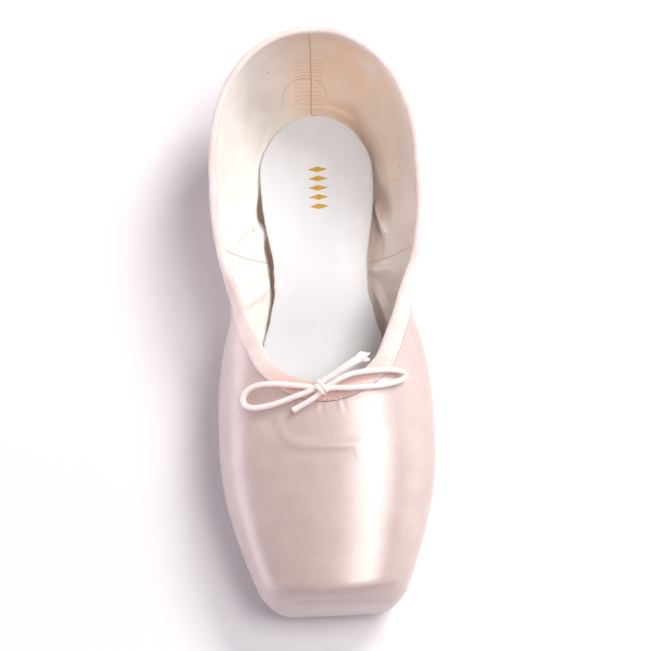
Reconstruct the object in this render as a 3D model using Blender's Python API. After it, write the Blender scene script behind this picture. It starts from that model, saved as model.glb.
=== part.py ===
"""A satin pointe shoe, standing empty on its sole.

Units are metres. The toe points along -Y, the heel along +Y and +Z is up. The origin lies on the floor
under the middle of the shoe. The shoe is straight-lasted, so it is the same on both sides.
"""
from collections import namedtuple
import math

import bmesh
import bpy
import numpy as np
from mathutils import Vector

MM = 0.001

# Sizes of the last
LENGTH = 236 * MM
BALL_WIDTH = 86 * MM
INSTEP_HEIGHT = 49 * MM
HEEL_HEIGHT = 56 * MM
SIDE_HEIGHT = 41 * MM

# Walls, and the clearance between neighbouring pieces. The stiff box and its thinner wings are measured
# back from the toe.
QUARTER_WALL = 1.6 * MM
BOX_WALL = 3 * MM
WING_LENGTH = 118 * MM
BOX_LENGTH = 86 * MM
BOX_START = LENGTH - WING_LENGTH
BOX_FULL = LENGTH - BOX_LENGTH
BOX_EDGE = 8 * MM
BOX_DEPTH = 26 * MM
CLEARANCE = 0.3 * MM

# Platform, the flat tip of the toe, and the rounded edges of the form
PLATFORM_LEAN = math.radians(8.5)
PLATFORM_EDGE = BOX_WALL + 3 * MM
FEATHER_EDGE = BOX_WALL + 1 * MM
TOP_ROUNDNESS = 2.35

# Heel cup
HEEL_CENTRE = 60 * MM
HEEL_ROUNDNESS = 2.1
HEEL_BULGE_HEIGHT = 34 * MM
HEEL_TUCK = 14 * MM
HEEL_TUCK_ROUNDNESS = 2.4
HEEL_TOP_LEAN = 3 * MM

# Sole, with its two flats on the floor: the heel's from the back of the heel and the ball's from the toe
SOLE_THICKNESS = 2.5 * MM
SOLE_BEVEL = 0.28 * SOLE_THICKNESS
SOLE_MARGIN = 5 * MM
SOLE_BACK = 17 * MM
SOLE_FRONT = LENGTH - 15 * MM
HEEL_FLAT = (26 * MM, 62 * MM)
BALL_FROM_TOE = (106 * MM, 64 * MM)
BALL_FLAT = (LENGTH - BALL_FROM_TOE[0], LENGTH - BALL_FROM_TOE[1])
ARCH_RISE = 3.5 * MM
TOE_SPRING = 5.5 * MM
TOE_SPRING_BEND = 1.6
HEEL_SPRING = 0.8 * MM

# Insole
INSOLE_THICKNESS = 2.6 * MM
INSOLE_BEVEL = 0.2 * INSOLE_THICKNESS
INSOLE_SKIVE = 0.7 * INSOLE_THICKNESS
INSOLE_BACK = 19.8 * MM
INSOLE_FRONT = LENGTH - 22 * MM

# Rounded ends of the sole and the insole
END_ROUNDNESS = 2.1
BACK_END = 26 * MM
FRONT_END = 12 * MM

# Throat, given as stations and as the share of the width that the collar keeps where it starts
VAMP_LENGTH = 82 * MM
THROAT_FRONT = LENGTH - VAMP_LENGTH
THROAT_ROUND_START = THROAT_FRONT - 15 * MM
THROAT_START = THROAT_FRONT - 50 * MM
THROAT_WIDTH_SHARE = 0.96
THROAT_NARROWING = 0.36
THROAT_ROUNDNESS = 2.2

# Binding, the casing of the drawstring
BINDING_WIDTH = 6.8 * MM
BINDING_THICKNESS = 0.7 * MM

# Drawstring
CORD_DIAMETER = 2.2 * MM
KNOT_SIZE = (6.6 * MM, 5.2 * MM, 4 * MM)
KNOT_CENTRE = (-1.7 * MM, -37.8 * MM, 52.3 * MM)

# Ribs run down the wall from the collar to the edge of the opening under the foot. They fan out round
# the heel and the toe from two ends of a spine inside the shoe.
CORE_HEIGHT = 0.45 * INSTEP_HEIGHT
HEEL_FAN = 42 * MM
TOE_FAN = THROAT_FRONT - 13 * MM
RIBS = 96
RINGS = 17
BEND_WEIGHT = 1.2
PLATE_SECTIONS = 48

# One row for each section of the last, from the heel to the toe. `along` is a share of the length,
# `half_width` of half the ball width, `tuck` of that half width, and `widest` and `crown` are heights as
# shares of the collar's height there. `fullness` is the roundness of the side below the widest line.
Section = namedtuple("Section", "along half_width widest tuck crown fullness")
SECTIONS = (
    Section(0.000, 0.985, 1.00, 0.36, 1.50, 2.2),
    Section(0.250, 0.985, 1.00, 0.375, 1.50, 2.2),
    Section(0.325, 0.982, 1.00, 0.42, 1.48, 2.1),
    Section(0.390, 0.937, 0.99, 0.45, 1.44, 2.1),
    Section(0.445, 0.875, 0.85, 0.39, 1.34, 2.2),
    Section(0.490, 0.845, 0.68, 0.31, 1.29, 2.3),
    Section(0.550, 0.930, 0.52, 0.29, 1.13, 2.5),
    Section(0.615, 0.985, 0.45, 0.27, 1.05, 2.6),
    Section(0.670, 1.000, 0.42, 0.27, 0.99, 2.6),
    Section(0.735, 0.998, 0.42, 0.27, 0.94, 2.6),
    Section(0.790, 0.970, 0.42, 0.265, 0.90, 2.6),
    Section(0.850, 0.900, 0.42, 0.25, 0.85, 2.6),
    Section(0.910, 0.800, 0.43, 0.23, 0.79, 2.6),
    Section(0.966, 0.685, 0.44, 0.22, 0.73, 2.6),
    Section(1.000, 0.610, 0.44, 0.21, 0.70, 2.6),
)

# One row for each point of the collar's height. `heel_rise` is the share of the step from the side up to
# the heel, and `throat_rise` the share of the step up to the instep.
Collar = namedtuple("Collar", "along heel_rise throat_rise")
COLLAR = (
    Collar(0.000, 1.00, 0.00),
    Collar(0.060, 0.93, 0.00),
    Collar(0.160, 0.63, 0.00),
    Collar(0.260, 0.28, 0.00),
    Collar(0.350, 0.06, 0.00),
    Collar(0.420, 0.00, 0.00),
    Collar(0.480, 0.00, 0.13),
    Collar(0.560, 0.00, 0.50),
    Collar(0.620, 0.00, 0.82),
    Collar(0.660, 0.00, 1.00),
    Collar(1.000, 0.00, 1.00),
)

# One row for each width of the sole and the insole, as shares of half the ball width.
Plate = namedtuple("Plate", "along half_width")
SOLE_OUTLINE = (
    Plate(0.000, 0.40),
    Plate(0.140, 0.43),
    Plate(0.210, 0.44),
    Plate(0.300, 0.36),
    Plate(0.380, 0.29),
    Plate(0.450, 0.30),
    Plate(0.530, 0.42),
    Plate(0.615, 0.55),
    Plate(0.690, 0.59),
    Plate(0.770, 0.57),
    Plate(0.860, 0.49),
    Plate(0.920, 0.42),
    Plate(1.000, 0.38),
)
INSOLE_OUTLINE = (
    Plate(0.000, 0.50),
    Plate(0.140, 0.53),
    Plate(0.190, 0.55),
    Plate(0.250, 0.54),
    Plate(0.320, 0.49),
    Plate(0.380, 0.445),
    Plate(0.420, 0.445),
    Plate(0.460, 0.485),
    Plate(0.520, 0.570),
    Plate(0.600, 0.640),
    Plate(0.690, 0.650),
    Plate(0.790, 0.630),
    Plate(0.870, 0.560),
    Plate(1.000, 0.450),
)

# Points along each run of the drawstring, in millimetres
LOOP_LEFT = (
    (-5.6, -37.4, 51.7),
    (-12.0, -36.3, 51.4),
    (-19.5, -35.0, 50.1),
    (-25.6, -34.5, 47.9),
    (-29.9, -35.6, 45.8),
    (-32.0, -38.3, 44.4),
    (-31.2, -41.2, 44.0),
    (-27.6, -42.9, 45.4),
    (-22.4, -43.0, 47.3),
    (-16.6, -42.0, 49.0),
    (-11.2, -40.6, 50.7),
    (-5.6, -39.0, 51.5),
)
LOOP_RIGHT = (
    (2.2, -36.6, 52.0),
    (6.8, -34.6, 52.6),
    (11.4, -32.9, 52.2),
    (16.4, -32.0, 51.3),
    (22.0, -31.2, 49.8),
    (27.8, -30.6, 47.2),
    (31.2, -31.2, 45.4),
    (31.6, -33.0, 44.9),
    (28.6, -34.9, 46.2),
    (23.0, -36.8, 48.3),
    (16.6, -38.0, 50.5),
    (9.6, -38.4, 51.4),
    (2.8, -38.2, 51.6),
)
END_SHORT = (
    (-3.4, -41.2, 51.2),
    (-6.0, -42.8, 50.6),
    (-9.2, -44.2, 49.6),
    (-12.6, -45.8, 48.8),
)
END_LONG = (
    (0.3, -34.9, 53.3),
    (4.6, -32.4, 54.3),
    (9.4, -29.8, 54.8),
    (14.0, -27.2, 54.6),
    (18.0, -25.0, 54.0),
)

SATIN = ("pale_pink_satin", (0.83, 0.60, 0.54), 0.35)
BINDING_COTTON = ("pale_pink_cotton", (0.86, 0.66, 0.60), 0.8)
SOCK_LEATHER = ("pale_grey_leather", (0.80, 0.80, 0.80), 0.65)
SOLE_LEATHER = ("tan_leather", (0.52, 0.40, 0.29), 0.7)
CORD_COTTON = ("ivory_cotton", (0.88, 0.72, 0.64), 0.8)


def clear_scene():
    """Remove every object that the scene starts with."""
    for obj in list(bpy.data.objects):
        bpy.data.objects.remove(obj, do_unlink=True)


def plain_material(finish):
    """Give the Principled material of a finish, made from its name, colour and roughness."""
    name, colour, roughness = finish
    material = bpy.data.materials.new(name)
    material.use_nodes = True
    shader = material.node_tree.nodes["Principled BSDF"]
    shader.inputs["Base Color"].default_value = (*colour, 1.0)
    shader.inputs["Roughness"].default_value = roughness
    shader.inputs["Metallic"].default_value = 0.0
    return material


def smooth_curve(rows, column):
    """Give a function of the station that runs smoothly through one column and never overshoots it."""
    stations = np.array([row.along for row in rows]) * LENGTH
    values = np.array([getattr(row, column) for row in rows])
    step = np.diff(stations)
    slope = np.diff(values) / step
    tangent = np.zeros(len(values))
    rising = slope[:-1] * slope[1:] > 0
    before = 2 * step[1:] + step[:-1]
    after = step[1:] + 2 * step[:-1]
    flat = np.where(rising, 1.0, np.inf)
    safe = np.where(rising, slope[:-1], 1.0), np.where(rising, slope[1:], 1.0)
    tangent[1:-1] = (before + after) / ((before / safe[0] + after / safe[1]) * flat)

    def value(station):
        station = np.clip(station, stations[0], stations[-1])
        row = np.clip(np.searchsorted(stations, station, side="right") - 1, 0, len(step) - 1)
        width = step[row]
        t = (station - stations[row]) / width
        start = (1 + 2 * t) * (1 - t) ** 2 * values[row] + t * (1 - t) ** 2 * width * tangent[row]
        end = t * t * (3 - 2 * t) * values[row + 1] + t * t * (t - 1) * width * tangent[row + 1]
        return start + end

    return value


half_width_share = smooth_curve(SECTIONS, "half_width")
widest_share = smooth_curve(SECTIONS, "widest")
tuck_share = smooth_curve(SECTIONS, "tuck")
crown_share = smooth_curve(SECTIONS, "crown")
fullness_of = smooth_curve(SECTIONS, "fullness")
heel_rise_share = smooth_curve(COLLAR, "heel_rise")
throat_rise_share = smooth_curve(COLLAR, "throat_rise")
sole_share = smooth_curve(SOLE_OUTLINE, "half_width")
insole_share = smooth_curve(INSOLE_OUTLINE, "half_width")


def station_of(y):
    """Give the distance from the back of the heel."""
    return LENGTH / 2 - y


def fade(value, start, end):
    """Rise smoothly from 0 at start to 1 at end."""
    t = np.clip((value - start) / (end - start), 0, 1)
    return t * t * (3 - 2 * t)


def sole_underside(station):
    """Give the height of the sole's underside: two flats on the floor, an arch and the springs."""
    station = np.asarray(station, dtype=float)
    arch_start, arch_end = HEEL_FLAT[1], BALL_FLAT[0]
    arch = np.clip((station - arch_start) / (arch_end - arch_start), 0, 1)
    toe = np.clip((station - BALL_FLAT[1]) / (LENGTH - BALL_FLAT[1]), 0, None)
    heel = np.clip((HEEL_FLAT[0] - station) / HEEL_FLAT[0], 0, None)
    springs = TOE_SPRING * toe ** TOE_SPRING_BEND + HEEL_SPRING * heel ** 2
    return ARCH_RISE * np.sin(math.pi * arch) ** 2 + springs


def upper_underside(station):
    """Give the height of the upper's underside, which lies on the sole."""
    return sole_underside(station) + SOLE_THICKNESS + CLEARANCE


def wall_thickness(station, depth=BOX_DEPTH):
    """Give the wall's thickness, from the soft quarters and collar to the stiff box."""
    stiff = fade(station, BOX_START, BOX_FULL) * fade(depth, BOX_EDGE, BOX_DEPTH)
    return QUARTER_WALL + (BOX_WALL - QUARTER_WALL) * stiff


def collar_height(station):
    """Give the height of the collar, with its rise at the heel and at the throat."""
    heel = (HEEL_HEIGHT - SIDE_HEIGHT) * heel_rise_share(station)
    throat = (INSTEP_HEIGHT - SIDE_HEIGHT) * throat_rise_share(station)
    return SIDE_HEIGHT + heel + throat


def half_width(station):
    """Give the greatest half width of a section."""
    return BALL_WIDTH / 2 * half_width_share(station)


def side_reach(station, height):
    """Give a section's half width at a height, tucked in below its widest line."""
    widest = collar_height(station) * widest_share(station)
    floor = upper_underside(station)
    below = np.clip((widest - height) / (widest - floor), 0, 1.3)
    return half_width(station) * (1 - tuck_share(station) * below ** fullness_of(station))


def heel_back(height):
    """Give the station of the heel's back line: tucked under below the bulge, leaning in above it."""
    floor = upper_underside(SOLE_BACK)
    below = np.clip((HEEL_BULGE_HEIGHT - height) / (HEEL_BULGE_HEIGHT - floor), 0, 1.3)
    above = np.clip((height - HEEL_BULGE_HEIGHT) / (HEEL_HEIGHT - HEEL_BULGE_HEIGHT), 0, 1.5)
    return HEEL_TUCK * below ** HEEL_TUCK_ROUNDNESS + HEEL_TOP_LEAN * above ** 2


def rounded_cut(first, second, radius):
    """Give the depth outside both of two forms, with their common edge rounded."""
    over = np.hypot(np.clip(first + radius, 0, None), np.clip(second + radius, 0, None))
    return np.minimum(-radius, np.maximum(first, second)) + over


def outside_form(points):
    """Give how far points lie outside the form, before its toe and its underside are cut."""
    station = station_of(points[..., 1])
    height = points[..., 2]
    reach = side_reach(station, height)
    length = HEEL_CENTRE - heel_back(height)
    widest = collar_height(station) * widest_share(station)
    dome = collar_height(station) * crown_share(station) - widest
    sideways = np.abs(points[..., 0]) / reach
    backwards = np.clip((HEEL_CENTRE - station) / length, 0, None)
    upwards = np.clip((height - widest) / dome, 0, None)
    plan = np.maximum(sideways ** HEEL_ROUNDNESS + backwards ** HEEL_ROUNDNESS, 1e-9)
    plan_power = plan ** (TOP_ROUNDNESS / HEEL_ROUNDNESS)
    size = (plan_power + upwards ** TOP_ROUNDNESS) ** (1 / TOP_ROUNDNESS)
    lean = plan_power / plan
    steep = np.sqrt((lean * sideways ** (HEEL_ROUNDNESS - 1) / reach) ** 2
                    + (lean * backwards ** (HEEL_ROUNDNESS - 1) / length) ** 2
                    + (upwards ** (TOP_ROUNDNESS - 1) / dome) ** 2)
    steep = np.maximum(steep * size ** (1 - TOP_ROUNDNESS), 1 / LENGTH)
    return (size - 1) / steep


def outside_last(points):
    """Give how far points lie outside the outer face of the upper, negative inside."""
    y, z = points[..., 1], points[..., 2]
    platform_foot = upper_underside(LENGTH) + PLATFORM_EDGE
    platform = -(y + LENGTH / 2) * math.cos(PLATFORM_LEAN) + (z - platform_foot) * math.sin(PLATFORM_LEAN)
    form = rounded_cut(outside_form(points), platform, PLATFORM_EDGE)
    return rounded_cut(form, upper_underside(station_of(y)) - z, FEATHER_EDGE)


def outward_normal(points):
    """Give the unit normals of the outer face at points on it."""
    step = 0.05 * MM
    slope = np.empty(points.shape)
    for axis in range(3):
        shift = np.zeros(3)
        shift[axis] = step
        slope[..., axis] = outside_last(points + shift) - outside_last(points - shift)
    return slope / np.linalg.norm(slope, axis=-1, keepdims=True)


def find_edge(outside, low, high, rounds=40):
    """Halve the ranges from low to high until each meets the place where outside changes sign."""
    low = low.copy()
    high = high.copy()
    for _ in range(rounds):
        middle = (low + high) / 2
        out = outside(middle) > 0
        high = np.where(out, middle, high)
        low = np.where(out, low, middle)
    return (low + high) / 2


def outline_half(station, back, front, share):
    """Give a plate's half width at a station, with its two ends rounded off."""
    at_back = np.clip((back + BACK_END - station) / BACK_END, 0, 1)
    at_front = np.clip((station - front + FRONT_END) / FRONT_END, 0, 1)
    ends = np.clip(1 - at_back ** END_ROUNDNESS - at_front ** END_ROUNDNESS, 0, 1)
    return BALL_WIDTH / 2 * share(station) * ends ** (1 / END_ROUNDNESS)


def sole_half(station):
    """Give the sole's half width."""
    return outline_half(station, SOLE_BACK, SOLE_FRONT, sole_share)


def insole_half(station):
    """Give the insole's half width."""
    return outline_half(station, INSOLE_BACK, INSOLE_FRONT, insole_share)


def collar_half(station):
    """Give the half width of the collar's edge in plan, from the heel to the front of the throat."""
    back = np.clip((HEEL_CENTRE - station) / (HEEL_CENTRE - HEEL_TOP_LEAN), 0, 1)
    heel = half_width(station) * (1 - back ** HEEL_ROUNDNESS) ** (1 / HEEL_ROUNDNESS)
    throat_width = half_width(THROAT_START) * THROAT_WIDTH_SHARE
    throat_width = throat_width - THROAT_NARROWING * (station - THROAT_START)
    front = np.clip((station - THROAT_ROUND_START) / (THROAT_FRONT - THROAT_ROUND_START), 0, 1)
    throat = throat_width * (1 - front ** THROAT_ROUNDNESS) ** 0.5
    return np.where(station < THROAT_START, heel, np.minimum(heel, throat))


def plan_reach(half_at, inset, spine, direction):
    """Give how far from the spine each rib's plane meets a plan outline, drawn in by an inset."""
    def outside(reach):
        spot = spine[:, :2] + reach[:, None] * direction[:, :2]
        return np.abs(spot[:, 0]) - (half_at(station_of(spot[:, 1])) - inset)

    return find_edge(outside, np.zeros(len(spine)), np.full(len(spine), LENGTH / 2))


def spaced(points, count, bend_weight, closed=False):
    """Give the places of count samples along a line, closer together where it bends."""
    line = np.vstack([points, points[:1]]) if closed else points
    leg = np.diff(line, axis=0)
    length = np.linalg.norm(leg, axis=1)
    heading = leg / length[:, None]
    turn = np.arccos(np.clip(np.sum(heading[1:] * heading[:-1], axis=1), -1, 1))
    turn = np.concatenate([[turn[0]], (turn[1:] + turn[:-1]) / 2, [turn[-1]]])
    pace = length / length.sum() + bend_weight * turn / turn.sum()
    travelled = np.concatenate([[0], np.cumsum(pace)]) / pace.sum()
    goals = np.linspace(0, 1, count, endpoint=not closed)
    return np.interp(goals, travelled, np.arange(len(line)))


def spine_and_direction(turns):
    """Give the foot and heading of the ribs at places along a track round the shoe.

    A turn from 0 to 1 fans round the heel, 1 to 2 runs down the left side, 2 to 3 fans round the toe and
    3 to 4 comes back up the right side.
    """
    heel_y, toe_y = LENGTH / 2 - HEEL_FAN, LENGTH / 2 - TOE_FAN
    part = np.minimum(turns.astype(int), 3)
    share = turns - part
    angle = np.choose(part, [math.pi * share, np.full(len(turns), math.pi),
                             math.pi * (1 + share), np.full(len(turns), 2 * math.pi)])
    y = np.choose(part, [np.full(len(turns), heel_y), heel_y + (toe_y - heel_y) * share,
                         np.full(len(turns), toe_y), toe_y + (heel_y - toe_y) * share])
    spine = np.stack([np.zeros(len(turns)), y, np.full(len(turns), CORE_HEIGHT)], axis=1)
    direction = np.stack([np.cos(angle), np.sin(angle), np.zeros(len(turns))], axis=1)
    return spine, direction


def on_last(spine, direction, angle):
    """Give the points where rays from the spine, raised by an angle, leave the last."""
    ray = np.cos(angle)[:, None] * direction
    ray[:, 2] = np.sin(angle)

    def outside(reach):
        return outside_last(spine + reach[:, None] * ray)

    reach = find_edge(outside, np.full(len(spine), 2 * MM), np.full(len(spine), LENGTH * 0.6))
    return spine + reach[:, None] * ray


def rib_track():
    """Give the ribs' feet and headings, spaced along the outline with more at its corners."""
    dense = np.linspace(0.5, 4.5, 1600, endpoint=False)
    spine, direction = spine_and_direction(dense % 4)
    outline = on_last(spine, direction, np.zeros(len(dense)))
    places = spaced(outline, RIBS, BEND_WEIGHT, closed=True)
    turns = np.interp(places, np.arange(len(dense) + 1), np.append(dense, 4.5))
    return spine_and_direction(turns % 4)


def wall_rings():
    """Give the points and normals of the outer face, ring by ring from the collar down."""
    spine, direction = rib_track()
    collar = plan_reach(collar_half, 0, spine, direction)
    collar_spot = spine + collar[:, None] * direction
    rise = collar_height(station_of(collar_spot[:, 1])) - CORE_HEIGHT
    top = np.arctan2(rise, collar)
    opening = plan_reach(sole_half, SOLE_MARGIN, spine, direction)
    opening_spot = spine + opening[:, None] * direction
    drop = upper_underside(station_of(opening_spot[:, 1])) - CORE_HEIGHT
    bottom = np.arctan2(drop, opening)
    dense = 160
    lines = np.stack([on_last(spine, direction, top + (bottom - top) * step / (dense - 1))
                      for step in range(dense)])
    rings = np.empty((RINGS, RIBS, 3))
    for rib in range(RIBS):
        line = lines[:, rib]
        run = np.concatenate([[0], np.cumsum(np.linalg.norm(np.diff(line, axis=0), axis=1))])
        foot = np.interp(BINDING_WIDTH, run, np.arange(dense))
        rest = line[int(foot):]
        places = int(foot) + spaced(rest, RINGS - 2, BEND_WEIGHT)
        places[0] = foot
        half = np.interp(BINDING_WIDTH / 2, run, np.arange(dense))
        places = np.concatenate([[0, half], places])
        for axis in range(3):
            rings[:, rib, axis] = np.interp(places, np.arange(dense), line[:, axis])
    return rings, outward_normal(rings)


def new_object(name, mesh_or_curve, finish):
    """Put a mesh or curve in the scene under a name, with its material."""
    obj = bpy.data.objects.new(name, mesh_or_curve)
    mesh_or_curve.materials.append(plain_material(finish))
    bpy.context.collection.objects.link(obj)
    return obj


def closed_shell(name, rings, finish, smooth_angle=math.radians(40)):
    """Join closed rings into a tube that closes on itself, as one object with its faces pointing out."""
    bm = bmesh.new()
    verts = [[bm.verts.new(point) for point in ring] for ring in rings]
    count = len(rings[0])
    for ring, following in zip(verts, verts[1:] + verts[:1]):
        for i in range(count):
            j = (i + 1) % count
            bm.faces.new((ring[i], ring[j], following[j]))
            bm.faces.new((ring[i], following[j], following[i]))
    bmesh.ops.recalc_face_normals(bm, faces=bm.faces)
    return finish_mesh(name, bm, finish, smooth_angle)


def finish_mesh(name, bm, finish, smooth_angle):
    """Turn a bmesh into a smooth-shaded object."""
    mesh = bpy.data.meshes.new(name)
    bm.to_mesh(mesh)
    bm.free()
    mesh.shade_smooth()
    mesh.set_sharp_from_angle(angle=smooth_angle)
    return new_object(name, mesh, finish)


def build_upper(rings, normals):
    """Make the upper: one wall between the last's face and a face set in by the wall."""
    steps = np.linalg.norm(np.diff(rings, axis=0), axis=2)
    depth = np.concatenate([np.zeros((1, RIBS)), np.cumsum(steps, axis=0)])
    wall = wall_thickness(station_of(rings[..., 1]), depth)[..., None]
    inner = rings - wall * normals
    loop = list(rings) + list(inner[::-1])
    return closed_shell("upper", loop, SATIN)


def build_binding(rings, normals):
    """Make the drawstring casing: a band folded over the collar's edge."""
    top, middle, foot = rings[0], rings[1], rings[2]
    normal = normals[:3]
    along = top - middle
    upward = along - np.sum(along * normal[0], axis=1, keepdims=True) * normal[0]
    upward /= np.linalg.norm(upward, axis=1, keepdims=True)
    wall = QUARTER_WALL
    near = CLEARANCE
    far = CLEARANCE + BINDING_THICKNESS
    centre = top - wall / 2 * normal[0]
    roll = wall / 2 + far
    loop = [foot + far * normal[2], middle + far * normal[1], top + far * normal[0]]
    for angle in (45, 90, 135):
        tilt = math.radians(angle)
        loop.append(centre + roll * (math.cos(tilt) * normal[0] + math.sin(tilt) * upward))
    loop.append(top - (wall + far) * normal[0])
    loop.append(middle - (wall + far) * normal[1])
    loop.append(foot - (wall + far) * normal[2])
    loop.append(foot - (wall + near) * normal[2])
    loop.append(middle - (wall + near) * normal[1])
    loop.append(top - (wall + near) * normal[0] + near * upward)
    loop.append(top + near * normal[0] + near * upward)
    loop.append(middle + near * normal[1])
    loop.append(foot + near * normal[2])
    return closed_shell("binding", loop, BINDING_COTTON)


def plate_stations(back, front):
    """Give the stations of a plate's sections, closer together at its rounded ends."""
    blunt = 0.09
    share = (1 - np.cos(np.linspace(blunt, math.pi - blunt, PLATE_SECTIONS))) / 2
    return back + (front - back) * share


def build_plate(name, back, front, half_at, underside, thickness, bevels, finish):
    """Loft a sole or insole from cross sections: bevelled below and above, flat across."""
    low_bevel, high_bevel = bevels
    sections = []
    for station in plate_stations(back, front):
        half = float(half_at(station))
        y = LENGTH / 2 - station
        base = float(underside(station))
        cap = base + thickness
        low = min(low_bevel, half / 3)
        high = min(high_bevel, half / 3)
        profile = ((-half + low, base), (half - low, base), (half, base + low), (half, cap - high),
                   (half - high, cap), (-half + high, cap), (-half, cap - high), (-half, base + low))
        sections.append([(x, y, z) for x, z in profile])
    bm = bmesh.new()
    verts = [[bm.verts.new(point) for point in section] for section in sections]
    for section, following in zip(verts, verts[1:]):
        for i in range(len(section)):
            j = (i + 1) % len(section)
            bm.faces.new((section[i], section[j], following[j], following[i]))
    bm.faces.new(verts[0][::-1])
    bm.faces.new(verts[-1])
    bmesh.ops.recalc_face_normals(bm, faces=bm.faces)
    return finish_mesh(name, bm, finish, math.radians(35))


def insole_underside(station):
    """Give the height of the insole's underside, which lies on the upper's turned-in margin."""
    return upper_underside(station) + wall_thickness(station) + CLEARANCE


def through_points(points, spacing):
    """Read evenly spaced points from a smooth curve through a route's points."""
    route = [Vector(point) * MM for point in points]
    ends = [2 * route[0] - route[1]], [2 * route[-1] - route[-2]]
    route = ends[0] + route + ends[1]
    fine = []
    for before, start, end, after in zip(route, route[1:], route[2:], route[3:]):
        for step in range(20):
            t = step / 20
            fine.append(0.5 * (2 * start + (end - before) * t
                               + (2 * before - 5 * start + 4 * end - after) * t ** 2
                               + (3 * start - before - 3 * end + after) * t ** 3))
    fine.append(route[-2])
    line = np.array(fine)
    run = np.concatenate([[0], np.cumsum(np.linalg.norm(np.diff(line, axis=0), axis=1))])
    count = max(3, round(run[-1] / spacing) + 1)
    goals = np.linspace(0, run[-1], count)
    return np.stack([np.interp(goals, run, line[:, axis]) for axis in range(3)], axis=1)


def build_cord(name, points):
    """Make one run of the drawstring as a round tube along its route."""
    curve = bpy.data.curves.new(name, "CURVE")
    curve.dimensions = "3D"
    curve.bevel_depth = CORD_DIAMETER / 2
    curve.bevel_resolution = 2
    curve.use_fill_caps = True
    route = through_points(points, 2.3 * CORD_DIAMETER)
    spline = curve.splines.new("POLY")
    spline.points.add(len(route) - 1)
    for place, point in zip(spline.points, route):
        place.co = (*point, 1.0)
    return new_object(name, curve, CORD_COTTON)


def build_knot():
    """Make the drawstring's knot as a flattened ball."""
    bm = bmesh.new()
    bmesh.ops.create_uvsphere(bm, u_segments=16, v_segments=10, radius=0.5)
    bmesh.ops.scale(bm, verts=bm.verts, vec=KNOT_SIZE)
    bmesh.ops.translate(bm, verts=bm.verts, vec=KNOT_CENTRE)
    return finish_mesh("drawstring_knot", bm, CORD_COTTON, math.radians(60))


def main():
    """Build every piece of the shoe."""
    clear_scene()
    rings, normals = wall_rings()
    build_upper(rings, normals)
    build_binding(rings, normals)
    build_plate("outsole", SOLE_BACK, SOLE_FRONT, sole_half, sole_underside,
                SOLE_THICKNESS, (SOLE_BEVEL, SOLE_BEVEL / 2), SOLE_LEATHER)
    build_plate("insole", INSOLE_BACK, INSOLE_FRONT, insole_half, insole_underside,
                INSOLE_THICKNESS, (INSOLE_SKIVE, INSOLE_BEVEL), SOCK_LEATHER)
    build_knot()
    build_cord("bow_loop_left", LOOP_LEFT)
    build_cord("bow_loop_right", LOOP_RIGHT)
    build_cord("bow_end_short", END_SHORT)
    build_cord("bow_end_long", END_LONG)


main()
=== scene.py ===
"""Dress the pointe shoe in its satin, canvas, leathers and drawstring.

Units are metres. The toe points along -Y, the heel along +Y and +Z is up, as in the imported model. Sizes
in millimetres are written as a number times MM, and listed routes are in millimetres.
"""
import logging
import math
from dataclasses import dataclass
from enum import Enum
from typing import Callable, NamedTuple

import bpy
import numpy as np
from mathutils import Matrix, Vector


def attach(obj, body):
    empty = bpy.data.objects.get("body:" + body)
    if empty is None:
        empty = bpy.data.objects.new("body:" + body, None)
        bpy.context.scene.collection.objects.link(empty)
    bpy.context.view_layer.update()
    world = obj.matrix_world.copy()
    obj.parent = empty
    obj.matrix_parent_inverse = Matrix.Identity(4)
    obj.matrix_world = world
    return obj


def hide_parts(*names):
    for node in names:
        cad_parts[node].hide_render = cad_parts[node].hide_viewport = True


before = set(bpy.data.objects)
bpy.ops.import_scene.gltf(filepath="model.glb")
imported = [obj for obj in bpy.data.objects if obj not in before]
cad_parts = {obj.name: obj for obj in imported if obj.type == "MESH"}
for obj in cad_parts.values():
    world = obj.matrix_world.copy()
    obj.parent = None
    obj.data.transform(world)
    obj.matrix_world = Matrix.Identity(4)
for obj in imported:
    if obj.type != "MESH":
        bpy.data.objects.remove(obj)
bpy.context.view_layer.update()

log = logging.getLogger("pointe_shoe")

MM = 0.001
Array = np.ndarray
Point = tuple[float, float, float]
Route = tuple[Point, ...]
BODY = "root"


class Section(NamedTuple):
    """A section of the last, in shares of the length, the half width and the collar's height."""

    along: float
    half_width: float
    widest: float
    tuck: float
    crown: float
    fullness: float


class Collar(NamedTuple):
    """A point of the collar's height, as shares of its rise to the heel and to the instep."""

    along: float
    heel_rise: float
    throat_rise: float


class Plate(NamedTuple):
    """A width of the sole or the insole, as a share of half the ball width."""

    along: float
    half_width: float


SECTIONS = (
    Section(0.000, 0.985, 1.00, 0.36, 1.50, 2.2),
    Section(0.250, 0.985, 1.00, 0.375, 1.50, 2.2),
    Section(0.325, 0.982, 1.00, 0.42, 1.48, 2.1),
    Section(0.390, 0.937, 0.99, 0.45, 1.44, 2.1),
    Section(0.445, 0.875, 0.85, 0.39, 1.34, 2.2),
    Section(0.490, 0.845, 0.68, 0.31, 1.29, 2.3),
    Section(0.550, 0.930, 0.52, 0.29, 1.13, 2.5),
    Section(0.615, 0.985, 0.45, 0.27, 1.05, 2.6),
    Section(0.670, 1.000, 0.42, 0.27, 0.99, 2.6),
    Section(0.735, 0.998, 0.42, 0.27, 0.94, 2.6),
    Section(0.790, 0.970, 0.42, 0.265, 0.90, 2.6),
    Section(0.850, 0.900, 0.42, 0.25, 0.85, 2.6),
    Section(0.910, 0.800, 0.43, 0.23, 0.79, 2.6),
    Section(0.966, 0.685, 0.44, 0.22, 0.73, 2.6),
    Section(1.000, 0.610, 0.44, 0.21, 0.70, 2.6),
)
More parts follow.
